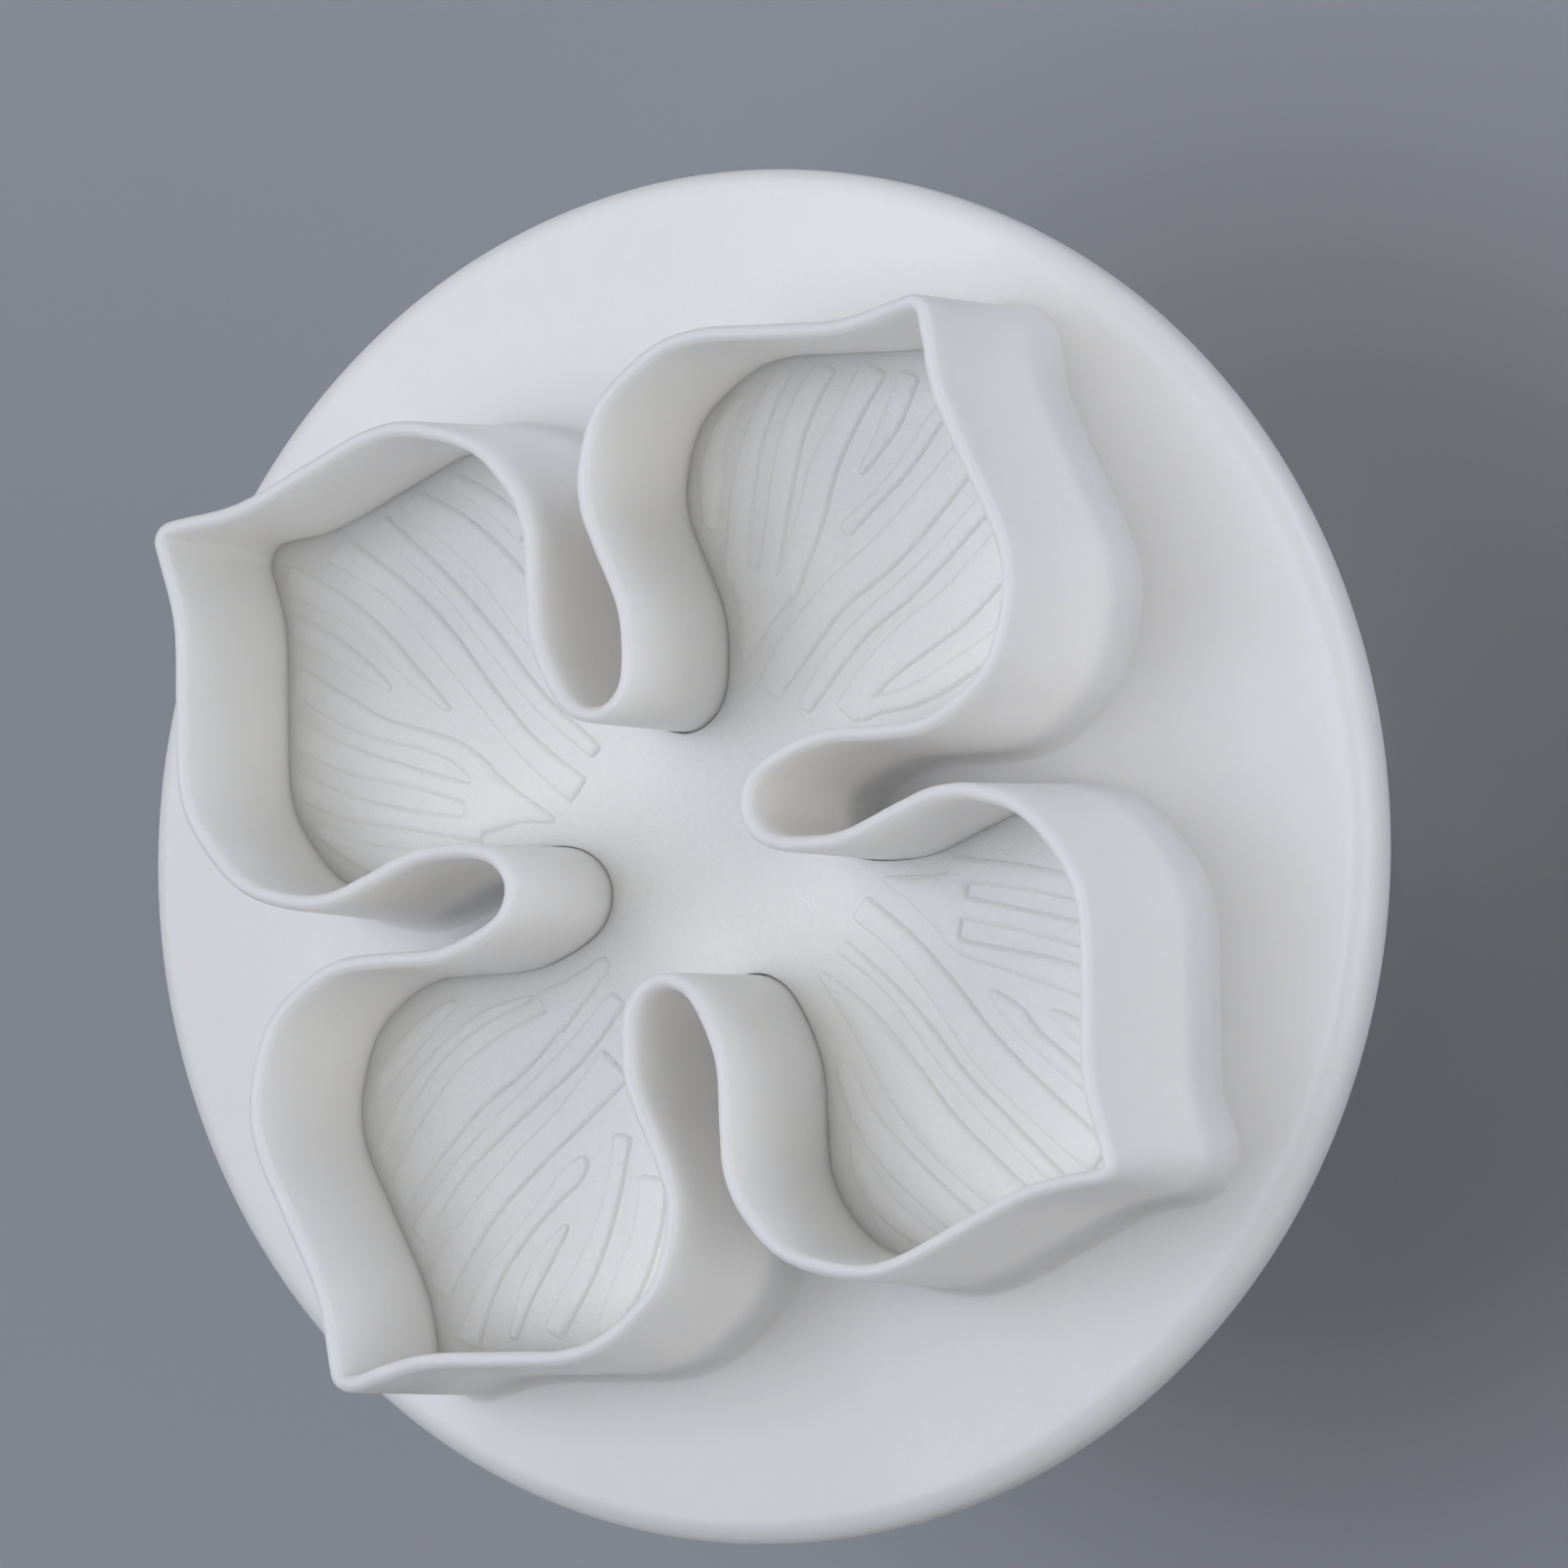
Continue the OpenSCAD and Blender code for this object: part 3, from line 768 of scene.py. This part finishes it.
    def sleeve(self) -> bpy.types.Object:
        """Turn the sleeve with its spring cup and softened mouth.

        Returns:
            The sleeve.
        """
        low, high = heights("guide_sleeve")
        soft, floor = self.mouth_round, low + self.cup_depth
        profile = [*arc((self.cup_r + soft, low + soft), soft, 180, 270, 5),
                   *arc((self.sleeve_r - soft, low + soft), soft, 270, 360, 5),
                   (self.sleeve_r, high - self.seat), (self.sleeve_r, high), (self.bore_r, high),
                   (self.bore_r, floor + self.lead), (self.bore_r + self.lead, floor), (self.cup_r, floor)]
        return turned_piece("sleeve_tube", profile)

    def build(self, finishes: Finishes) -> None:
        """Make and dress the moulding and the sleeve, and give the gussets their finish.

        Args:
            finishes: The materials.
        """
        dress(self.moulding(), finishes.wall, Body.CUTTER, Slot.CUTTER, "flange", "cutting_wall")
        dress(self.sleeve(), finishes.wall, Body.CUTTER, Slot.CUTTER, "guide_sleeve")
        paint(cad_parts["sleeve_gussets"], finishes.wall)


@dataclass
class VeinedPlate:
    """The embossing plate: flower-shaped face with raised veins, rim and spigot.

    A vein is a band along points with three values: out along the petal, across it, and the band's width. Its
    shoulder gives the share of its height at some depths inside its edge. Toward the border the face falls
    away by the crown, and the veins fade out.
    """

    outline: FlowerOutline
    back_room: float = 0.1
    inset: float = 0.41
    nose_room: float = 0.09
    nose_from: float = 6.0
    nose_reach: float = 12.0
    tip_round: float = 1.5
    rim: float = 0.02
    rim_steps: int = 4
    vein_h: float = 0.15
    vein_deep: float = 0.12
    shoulder: tuple[Point, ...] = ((-0.05, 0.0), (0.03, 0.5), (0.10, 0.84), (0.21, 1.0))
    least_half: float = 0.02
    vein_corner: float = 0.2
    crown: float = 0.34
    crown_from: float = 7.0
    crown_blend: float = 6.0
    border_w: float = 2.6
    clear: float = 0.15
    fade: float = 0.6
    dimple: float = 0.10
    dimple_r: float = 4.5
    steps: int = 6
    tip_steps: int = 8
    reach: float = 28.0
    pitch: float = 0.5
    sharp_degrees: float = 35.0
    spigot_r: float = 3.0
    spigot_lead: float = 0.4
    turns: tuple[float, ...] = (135.0, 45.0, -45.0, -135.0)
    veins: tuple[tuple[tuple[Band, ...], ...], ...] = (
        (((20.3, -7.3, 0.6), (17.8, -7.4, 0.9), (15.5, -7.1, 1.0)),
         ((21.5, -5.5, 1.0), (18.6, -5.5, 1.6), (16.1, -5.1, 1.8), (13.8, -4.3, 1.9), (12.0, -3.4, 1.4)),
         ((22.2, -3.9, 0.8), (18.2, -3.3, 0.8), (14.6, -2.3, 0.9), (11.1, -1.2, 0.8), (7.5, -0.7, 0.7)),
         ((23.6, -1.8, 1.4), (20.0, -1.8, 1.1), (16.8, -1.1, 1.3), (13.7, -0.1, 1.1), (10.6, 0.8, 1.1),
          (7.4, 1.2, 1.3)),
         ((25.0, 0.6, 1.3), (22.2, 0.3, 1.1), (19.7, 0.4, 0.9), (17.2, 1.0, 0.8), (14.8, 1.4, 0.3)),
         ((23.8, 2.3, 1.0), (21.6, 2.0, 1.0), (19.6, 2.0, 0.8), (17.8, 2.1, 0.3)),
         ((22.6, 4.2, 1.2), (19.7, 4.1, 1.3), (17.3, 3.8, 1.0), (15.0, 3.1, 0.9), (13.4, 2.8, 1.0),
          (11.6, 3.0, 1.2)),
         ((21.5, 6.3, 1.2), (18.0, 5.8, 1.2), (15.0, 4.9, 0.9), (11.2, 3.8, 0.9)),
         ((20.2, 8.2, 1.1), (16.9, 7.6, 1.1), (14.2, 6.6, 0.9), (10.6, 5.1, 1.0)),
         ((12.1, 4.2, 3.8), (10.8, 3.8, 2.6), (9.4, 3.3, 1.2), (7.8, 2.9, 0.3)),
         ((18.2, 9.3, 0.4), (15.4, 9.1, 1.1), (13.1, 8.4, 1.6))),
        (((17.6, 9.6, 0.6), (15.4, 9.5, 0.9), (13.5, 8.8, 1.1), (11.8, 7.8, 0.5)),
         ((19.8, 8.3, 0.8), (16.6, 8.0, 1.0), (13.9, 7.1, 1.2), (10.4, 5.5, 1.1)),
         ((20.8, 6.6, 1.1), (18.1, 6.5, 1.2), (15.9, 5.9, 1.2), (13.8, 5.1, 1.1), (10.7, 3.9, 0.9)),
         ((21.9, 4.5, 1.4), (19.2, 4.4, 1.2), (16.9, 4.3, 1.4), (14.6, 3.7, 1.4), (11.2, 3.1, 1.2)),
         ((11.7, 4.5, 4.0), (10.6, 4.1, 2.8), (9.2, 3.7, 1.4), (7.7, 3.3, 0.3)),
         ((22.5, 2.8, 1.0), (20.6, 2.5, 1.0), (19.1, 2.5, 0.7), (17.6, 2.6, 0.3)),
         ((22.0, 0.6, 0.8), (19.0, 0.9, 0.7), (17.0, 1.4, 0.6), (15.0, 2.0, 0.7)),
         ((21.5, -1.6, 1.5), (17.6, -0.8, 1.6), (15.0, -0.1, 1.6), (12.5, 0.9, 1.5), (9.9, 1.4, 1.6),
          (7.2, 1.6, 1.3)),
         ((20.6, -3.6, 0.9), (16.6, -2.6, 0.9), (14.4, -1.9, 1.0), (12.1, -1.0, 0.9), (9.8, -0.5, 1.0),
          (7.4, -0.3, 0.7)),
         ((19.2, -5.4, 1.9), (15.4, -4.5, 1.9), (13.1, -3.5, 1.8), (10.8, -2.6, 1.5), (8.3, -2.2, 1.3)),
         ((15.4, -7.2, 0.9), (14.0, -6.6, 1.0), (12.3, -5.7, 1.1), (11.3, -5.1, 1.0), (10.3, -4.3, 0.9),
          (9.5, -3.4, 0.8), (8.6, -2.7, 0.8))),
        (((7.1, 1.5, 1.2), (9.9, 1.2, 1.2), (12.7, 0.4, 1.4), (15.4, -0.6, 1.6), (18.2, -1.2, 1.6),
          (22.8, -1.9, 1.5)),
         ((7.2, -0.4, 0.7), (10.0, -0.7, 0.6), (12.7, -1.5, 0.8), (15.4, -2.4, 0.8), (18.2, -3.0, 0.8),
          (22.2, -3.8, 0.7)),
         ((6.9, -1.9, 0.3), (10.0, -2.7, 1.4), (13.0, -3.9, 2.0), (16.0, -4.9, 2.0), (20.6, -5.6, 1.7)),
         ((9.9, -4.8, 0.8), (12.3, -6.3, 1.2), (15.1, -7.1, 1.4), (19.2, -7.7, 1.3)),
         ((12.1, -7.5, 0.3), (13.6, -8.4, 1.0), (15.3, -9.0, 1.1), (17.8, -9.2, 1.0)),
         ((7.5, 3.1, 0.3), (9.0, 3.5, 1.2), (10.4, 3.8, 2.5), (11.5, 4.2, 4.0)),
         ((10.0, 5.1, 1.1), (13.0, 6.5, 1.1), (15.4, 7.4, 1.1), (18.4, 8.4, 1.0)),
         ((10.3, 3.6, 1.0), (13.9, 4.9, 1.0), (16.6, 5.8, 1.1), (20.0, 6.8, 1.0)),
         ((11.2, 2.6, 0.5), (12.5, 2.6, 0.7), (14.8, 3.3, 1.0), (17.6, 4.1, 1.3), (21.6, 4.9, 1.2)),
         ((14.5, 1.6, 0.4), (16.1, 1.3, 1.0), (17.9, 0.9, 0.8), (23.8, 0.3, 0.8)),
         ((17.4, 2.3, 0.3), (18.3, 2.4, 0.6), (19.1, 2.3, 0.9), (23.4, 2.4, 0.9))),
        (((12.2, -7.9, 0.4), (13.9, -8.6, 0.9), (15.6, -9.0, 1.0), (17.7, -9.4, 0.6)),
         ((10.1, -4.7, 0.3), (12.1, -6.3, 0.6), (14.5, -7.3, 0.6), (17.1, -7.7, 0.7), (20.1, -7.7, 0.6)),
         ((9.9, -3.0, 0.9), (12.4, -4.1, 2.0), (15.0, -5.2, 2.1), (17.8, -5.7, 1.8), (21.2, -6.0, 1.2)),
         ((6.8, -2.3, 0.6), (8.6, -2.9, 1.3), (10.3, -3.6, 2.2)),
         ((7.9, -1.0, 0.9), (10.7, -1.5, 1.1), (13.3, -2.3, 1.0), (16.0, -3.2, 0.9), (18.7, -3.9, 0.8),
          (22.0, -4.2, 0.9)),
         ((10.4, 0.4, 1.9), (13.5, -0.3, 1.4), (16.5, -1.2, 1.3), (19.6, -1.9, 1.3), (23.6, -2.2, 1.5)),
         ((14.7, 1.3, 0.5), (15.6, 1.1, 1.0), (17.2, 0.7, 0.8), (19.2, 0.3, 0.7), (21.7, 0.0, 0.9),
          (24.8, 0.4, 1.2)),
         ((17.7, 2.0, 0.3), (19.3, 1.8, 0.8), (21.1, 1.8, 0.8), (23.4, 2.2, 0.4)),
         ((12.9, 2.3, 0.9), (15.0, 3.1, 0.8), (17.1, 3.6, 0.9), (19.3, 3.8, 1.1), (22.2, 3.8, 1.0)),
         ((13.7, 4.6, 1.5), (15.9, 5.5, 1.4), (18.3, 5.9, 1.5), (21.0, 6.0, 0.9))))

    def ribbon(self, band: Sequence[Band], grow: float) -> list[Point]:
        """Draw the outline of a vein with blunt ends and soft corners.

        Args:
            band: Points of its middle line, with widths.
            grow: How far the outline lies outside the band's own edge.

        Returns:
            A closed anticlockwise outline.
        """
        line = curve_through(band, self.steps)
        out = []
        for along in (line, line[::-1]):
            places = [p[:2] for p in along]
            out += [(x + nx * (p[2] / 2 + grow), y + ny * (p[2] / 2 + grow))
                    for p, (x, y), (nx, ny) in zip(along, places, normals_of(places, False))][1:-1]
            end = places[-1]
            heading = math.degrees(math.atan2(end[1] - places[-2][1], end[0] - places[-2][0]))
            half = along[-1][2] / 2
            soft = min(self.vein_corner, 0.9 * half)
            for side in (-1, 1):
                corner = turned((-soft, side * (half - soft)), heading)
                start = heading - 90 if side < 0 else heading
                out += arc((end[0] + corner[0], end[1] + corner[1]), soft + grow, start, start + 90, 3)
        return out

    def sink(self, places: np.ndarray, near: np.ndarray) -> tuple[np.ndarray, np.ndarray]:
        """Find how far the face falls away toward its border and in its middle.

        Args:
            places: Points across the axis, one in each row.
            near: Distance of each point from the border.

        Returns:
            The fall at each point in millimetres, and its share of closeness to the border.
        """
        radius = np.hypot(places[:, 0], places[:, 1])
        outward = np.clip((radius - self.crown_from) / self.crown_blend, 0, 1)
        share = np.clip(1 - near / self.border_w, 0, 1) ** 2 * outward
        return self.crown * share + self.dimple * np.exp(-(radius / self.dimple_r) ** 2), share

    @staticmethod
    def distance(places: np.ndarray, outline: np.ndarray) -> np.ndarray:
        """Measure how far points lie from a closed outline.

        Args:
            places: Points across the axis, one in each row.
            outline: Corners of the outline.

        Returns:
            The least distance of each point.
        """
        least = np.full(len(places), np.inf)
        for a, b in zip(outline, np.roll(outline, -1, axis=0)):
            run = b - a
            share = np.clip((places - a) @ run / (run @ run), 0, 1)
            least = np.minimum(least, np.linalg.norm(places - a - share[:, None] * run, axis=1))
        return least

    def rise(self, places: np.ndarray, outlines: Sequence[np.ndarray]) -> np.ndarray:
        """Find how much of a vein's height each point has.

        Args:
            places: Points across the axis, one in each row.
            outlines: Outlines of the veins.

        Returns:
            A share for each point: 1 on a vein, 0 beside it.
        """
        most = np.zeros(len(places))
        room = 0.2
        for outline in outlines:
            close = np.all((places > outline.min(0) - room) & (places < outline.max(0) + room), axis=1)
            if close.any():
                away = self.distance(places[close], outline)
                depth = np.where(within(places[close], outline), away, -away)
                part = np.interp(depth, *zip(*self.shoulder))
                most[close] = np.maximum(most[close], part)
        return most

    def border(self) -> list[Point]:
        """Draw the plate's outline, with more room at the noses between the petals.

        Returns:
            A closed anticlockwise outline.
        """
        line = self.outline.line(self.tip_round, self.steps, self.tip_steps)
        out = []
        for (x, y), (nx, ny) in zip(line, normals_of(line, True)):
            nose = (self.nose_reach - math.hypot(x, y)) / (self.nose_reach - self.nose_from)
            room = self.inset + self.nose_room * min(1.0, max(0.0, nose))
            out.append((x - nx * room, y - ny * room))
        return out

    def face(self) -> bpy.types.Object:
        """Build the plate with raised veins on its face.

        Returns:
            The plate.
        """
        top = heights("emboss_plate")[1] - self.vein_h
        inner = moved(self.border(), -self.rim)
        loops = [inner]
        outlines = []
        for turn, group in zip(self.turns, self.veins):
            for band in group:
                outlines.append(np.array([turned(p, turn) for p in self.ribbon(band, 0)]))
                for depth, _ in self.shoulder:
                    if min(p[2] for p in band) / 2 - depth > self.least_half:
                        loops.append([turned(p, turn) for p in self.ribbon(band, -depth)])
        points: list[Point] = []
        edges: list[tuple[int, int]] = []
        for loop in loops:
            first = len(points)
            points.extend(loop)
            edges.extend((first + i, first + (i + 1) % len(loop)) for i in range(len(loop)))
        points.extend(mesh_grid(self.reach, self.pitch))
        found = delaunay_2d_cdt([Vector(p) for p in points], edges, [list(range(len(inner)))], 1, JOIN)
        places = np.array([p[:] for p in found[0]])
        near = self.distance(places, np.array(inner))
        fall, close = self.sink(places, near)
        held = np.clip((near - self.clear) / self.fade, 0, 1)
        level = top - fall + self.rise(places, outlines) * held * (self.vein_h + self.vein_deep * close)
        skin = Skin([(x, y, z) for (x, y), z in zip(places, level)], [tuple(f) for f in found[2]])
        self.close_rim(skin)
        return skin.piece("veined_plate", self.sharp_degrees)

    def back(self) -> float:
        """Find the level of the plate's back.

        Returns:
            The level, in millimetres.
        """
        return heights("flange")[1] + self.back_room

    @staticmethod
    def edge(faces: Iterable[Sequence[int]]) -> list[int]:
        """Follow the open edge of a face.

        Args:
            faces: Corner numbers of its parts.

        Returns:
            Corner numbers of the edge, anticlockwise.
        """
        sides = {(f[i - 1], f[i]) for f in faces for i in range(len(f))}
        after = {a: b for a, b in sides if (b, a) not in sides}
        start = min(after)
        loop = [start]
        while after[loop[-1]] != start:
            loop.append(after[loop[-1]])
        return loop

    def close_rim(self, skin: Skin) -> None:
        """Join the face to the plate's back with a rounded rim.

        Args:
            skin: The face so far.
        """
        edge = self.edge(skin.faces)
        inner = [skin.corners[k] for k in edge]
        line = moved([p[:2] for p in inner], self.rim)
        rows = [edge]
        for s in range(1, self.rim_steps + 1):
            angle = math.radians(90 * s / self.rim_steps)
            share = math.sin(angle)
            drop = self.rim * (1 - math.cos(angle))
            rows.append(skin.row((a[0] + (b[0] - a[0]) * share, a[1] + (b[1] - a[1]) * share, a[2] - drop)
                                 for a, b in zip(inner, line)))
        rows.append(skin.row((p[0], p[1], self.back()) for p in line))
        skin.join(rows)
        skin.faces.append(tuple(reversed(rows[-1])))

    def spigot(self) -> bpy.types.Object:
        """Turn the spigot that plugs into the stem.

        Returns:
            The spigot.
        """
        low = heights("emboss_plate")[0]
        r, lead = self.spigot_r, self.spigot_lead
        end = self.back() + lead
        profile = [(0.0, low), (r - lead, low), (r, low + lead), (r, end), (0.0, end)]
        return turned_piece("plate_spigot", profile, 64)

    def build(self, finishes: Finishes) -> None:
        """Make and dress the plate.

        Args:
            finishes: The materials.
        """
        dress(self.face(), finishes.plate, Body.PLUNGER, Slot.PLATE, "emboss_plate")
        dress(self.spigot(), finishes.plate, Body.PLUNGER, Slot.PLATE)


@dataclass
class PushKnob:
    """The knob, its cap and the stem."""

    edge: float = 1.4
    rim_round: float = 0.8
    rim_level: float = 3.2
    slope: Point = (1.2, 5.4)
    neck_r: float = 11.5
    neck_fillet: float = 0.9
    neck_levels: Point = (6.1, 6.4)
    neck_round: float = 0.7
    cup_r: float = 7.7
    cup_depth: float = 3.0
    cup_round: float = 0.35
    cap_fit: float = 0.15
    cap_mouth: float = 0.25
    cap_dish: float = 0.35
    dish_rings: tuple[float, ...] = (0.0, 0.2, 0.4, 0.6, 0.8, 0.92)
    cap_round: float = 0.35
    pocket_r: float = 4.0
    hole_r: float = 1.65
    stem_bore: float = 1.52
    stem_socket: float = 3.03
    socket_depth: float = 6.5
    stem_lead: float = 0.3

    def knob(self) -> bpy.types.Object:
        """Turn the knob with its grip groove, cup and recess.

        Returns:
            The knob.
        """
        low, high = heights("push_knob")
        r = radius_of("push_knob")
        cap_r = radius_of("knob_cap") + self.cap_fit
        cap_top = heights("knob_cap")[1]
        floor = high - self.cup_depth
        web = heights("screw_washer")[1]
        e, m, n, c = self.edge, self.cap_mouth, self.neck_round, self.cup_round
        profile = [*arc((cap_r + m, low + m), m, 180, 270, 4), *arc((r - e, low + e), e, 270, 360, 12),
                   *arc((r - self.rim_round, self.rim_level), self.rim_round, 0, 60, 6),
                   (self.neck_r + self.slope[0], self.slope[1]),
                   *arc((self.neck_r + self.neck_fillet, self.neck_levels[0]), self.neck_fillet, 235, 180, 6),
                   (self.neck_r, self.neck_levels[1]), *arc((self.neck_r - n, high - n), n, 0, 90, 6),
                   *arc((self.cup_r + c, high - c), c, 90, 180, 4), (self.cup_r, floor), (self.hole_r, floor),
                   (self.hole_r, web), (self.pocket_r, web), (self.pocket_r, cap_top), (cap_r, cap_top)]
        return turned_piece("push_knob_body", profile)

    def cap(self) -> bpy.types.Object:
        """Turn the cap with a shallow dished face.

        Returns:
            The cap.
        """
        low, high = heights("knob_cap")
        r = radius_of("knob_cap")
        soft = self.cap_round
        dish = [(r * k, low + self.cap_dish * (1 - k * k)) for k in self.dish_rings]
        profile = [*dish, *arc((r - soft, low + soft), soft, 270, 360, 5), (r, high), (0.0, high)]
        return turned_piece("knob_cap_disc", profile, 128)

    def stem(self) -> bpy.types.Object:
        """Turn the stem.

        Returns:
            The stem.
        """
        low, high = heights("plunger_stem")
        r = radius_of("plunger_stem")
        bore, socket, floor = self.stem_bore, self.stem_socket, high - self.socket_depth
        lead = self.stem_lead
        profile = [(bore, low), (r, low), (r, high - lead), (r - lead, high), (socket, high), (socket, floor),
                   (bore, floor)]
        return turned_piece("stem_tube", profile, 96)

    def build(self, finishes: Finishes) -> None:
        """Make and dress the knob, its cap, the stem and the fastening.

        Args:
            finishes: The materials.
        """
        dress(self.knob(), finishes.knob, Body.PLUNGER, Slot.KNOB, "push_knob")
        dress(self.cap(), finishes.knob, Body.PLUNGER, Slot.KNOB, "knob_cap")
        dress(self.stem(), finishes.knob, Body.PLUNGER, Slot.KNOB, "plunger_stem")
        for name in ("fixing_screw", "screw_washer"):
            paint(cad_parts[name], finishes.steel)


@dataclass
class ReturnSpring:
    """The compression spring between knob and sleeve."""

    wire_d: float = 0.9
    coil_d: float = 13.0
    curls: int = 7
    bend_r: float = 1.0
    bend_steps: int = 8
    rings: int = 40
    sides: int = 14

    def middle_line(self) -> list[Vector]:
        """Lay the wire's middle line: upright end, bend, curls, bend, upright end.

        Returns:
            Points in millimetres, from the knob up.
        """
        low, high = heights("return_spring")
        start = low + self.wire_d + self.bend_r
        end = high - self.wire_d - self.bend_r
        lap = self.bend_r / (self.coil_d / 2)
        bends = [math.radians(90 * s / self.bend_steps) for s in range(self.bend_steps + 1)]
        spots = [(-lap, low), (-lap, low + self.wire_d * 0.5)]
        spots += [(-lap * math.cos(a), start - self.bend_r + self.bend_r * math.sin(a)) for a in bends]
        total = self.curls * self.rings
        for i in range(1, total):
            spots.append((2 * math.pi * i / self.rings, start + (end - start) * i / total))
        full = 2 * math.pi * self.curls
        spots += [(full + lap * math.cos(a), end + self.bend_r - self.bend_r * math.sin(a))
                  for a in reversed(bends)]
        spots += [(full + lap, high - self.wire_d * 0.5), (full + lap, high)]
        r = self.coil_d / 2
        return [Vector((r * math.cos(a), r * math.sin(a), z)) for a, z in spots]

    def wire(self) -> bpy.types.Object:
        """Sweep the wire along its line.

        Returns:
            The spring.
        """
        line = self.middle_line()
        section = ring(self.wire_d / 2, 0.0, self.sides)
        skin = Skin()
        rows = []
        for i, here in enumerate(line):
            ahead = line[min(i + 1, len(line) - 1)] - line[max(i - 1, 0)]
            along = Vector((0, 0, 1)) if i in (0, len(line) - 1) else ahead.normalized()
            out = Vector((here.x, here.y, 0)).normalized()
            up = along.cross(out).normalized()
            side = up.cross(along).normalized()
            rows.append(skin.row(here + x * side + y * up for x, y, _ in section))
        skin.join(rows[::-1])
        skin.faces += [tuple(reversed(rows[0])), tuple(rows[-1])]
        return skin.piece("spring_wire")

    def build(self, finishes: Finishes) -> None:
        """Make and dress the spring, and give it a mesh of its own.

        Args:
            finishes: The materials.
        """
        made = dress(self.wire(), finishes.steel, Body.CUTTER, Slot.STEEL, "return_spring")
        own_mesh(made)


@dataclass
class Studio:
    """Camera, floor and lamps."""

    aim: tuple[float, float, float] = (0.0081, 0.0007, 0.0447)
    distance: float = 0.7315
    azimuth: float = -18.33
    elevation: float = 62.51
    roll: float = 85.88
    lens: float = 391.4
    sensor: float = 36.0
    lamp_size: float = 0.6
    lamp_distance: float = 0.9
    floor_size: float = 4.0
    floor_colour: Colour = (0.60, 0.61, 0.63)
    floor_roughness: float = 0.8
    floor_room: float = 0.00002
    room_light: float = 0.15
    lamps: tuple[tuple[str, float, float, float, Colour], ...] = (
        ("upper_right_softbox", 45, 15, 4.3, (0.87, 0.895, 1.0)),
        ("right_front_softbox", 0, 50, 2.3, (0.99, 0.985, 0.97)),
        ("lower_right_softbox", 315, 15, 0.8, (0.86, 0.90, 1.0)),
        ("upper_left_softbox", 135, 15, 1.5, (1.0, 0.995, 0.98)),
        ("left_softbox", 180, 15, 1.6, (0.925, 0.945, 1.0)),
        ("left_front_softbox", 180, 50, 2.9, (0.905, 0.925, 1.0)))

    def axes(self) -> tuple[Vector, Vector, Vector]:
        """Find the picture's directions.

        Returns:
            The way from the aim to the camera, the picture's right and the picture's up.
        """
        a, e = math.radians(self.azimuth), math.radians(self.elevation)
        back = Vector((math.cos(e) * math.cos(a), math.cos(e) * math.sin(a), math.sin(e)))
        level = Vector((0, 0, 1)).cross(back).normalized()
        top = back.cross(level)
        turn = math.radians(self.roll)
        up = top * math.cos(turn) + level * math.sin(turn)
        right = level * math.cos(turn) - top * math.sin(turn)
        return back, right, up

    def camera(self) -> None:
        """Set the camera at the photograph's viewing angle."""
        back, right, up = self.axes()
        data = bpy.data.cameras.new("camera")
        data.sensor_width = self.sensor
        data.lens = self.lens
        data.clip_start = 0.01
        made = bpy.data.objects.new("camera", data)
        turn = Matrix((right, up, back)).transposed().to_4x4()
        made.matrix_world = Matrix.Translation(Vector(self.aim) + back * self.distance) @ turn
        bpy.context.scene.collection.objects.link(made)
        bpy.context.scene.camera = made

    def lamp(self, name: str, around: float, over: float, power: float, colour: Colour) -> None:
        """Hang a soft square lamp round the object.

        Args:
            name: Name of the lamp.
            around: Its direction in the picture, in degrees from the right toward the top.
            over: Its angle over the picture's plane, toward the camera, in degrees.
            power: Its power in watts.
            colour: Its display colour.
        """
        back, right, up = self.axes()
        turn, lift = math.radians(around), math.radians(over)
        way = (right * math.cos(turn) + up * math.sin(turn)) * math.cos(lift) + back * math.sin(lift)
        data = bpy.data.lights.new(name, "AREA")
        data.shape = "SQUARE"
        data.size = self.lamp_size
        data.energy = power
        data.color = linear(colour)[:3]
        made = bpy.data.objects.new(name, data)
        made.location = Vector(self.aim) + way * self.lamp_distance
        made.rotation_euler = way.to_track_quat("Z", "Y").to_euler()
        bpy.context.scene.collection.objects.link(made)

    def floor(self) -> None:
        """Lay a plain pale floor under the knob."""
        half = self.floor_size / 2 / MM
        corners = [(-half, -half, 0), (half, -half, 0), (half, half, 0), (-half, half, 0)]
        made = Skin(corners, [(0, 1, 2, 3)]).piece("studio_floor")
        made.location.z = CAD_BOX[0][2] - self.floor_room
        sheet = bpy.data.materials.new("studio_floor")
        sheet.use_nodes = True
        skin = sheet.node_tree.nodes["Principled BSDF"]
        skin.inputs["Base Color"].default_value = linear(self.floor_colour)
        skin.inputs["Roughness"].default_value = self.floor_roughness
        made.data.materials.append(sheet)

    def world(self) -> None:
        """Light the room evenly."""
        world = bpy.data.worlds.new("room")
        world.use_nodes = True
        background = world.node_tree.nodes["Background"]
        background.inputs["Color"].default_value = (1.0, 1.0, 1.0, 1.0)
        background.inputs["Strength"].default_value = self.room_light
        bpy.context.scene.world = world

    def build(self) -> None:
        """Set up the whole studio."""
        self.camera()
        self.floor()
        self.world()
        for lamp in self.lamps:
            self.lamp(*lamp)
        bpy.context.scene.view_settings.view_transform = "Standard"


def main() -> None:
    """Build the studio and every piece in order."""
    logging.basicConfig(level=logging.INFO)
    Studio().build()
    finishes = Finishes()
    outline = FlowerOutline()
    CuttingHead(outline).build(finishes)
    VeinedPlate(outline).build(finishes)
    PushKnob().build(finishes)
    ReturnSpring().build(finishes)


if __name__ == "__main__":
    main()
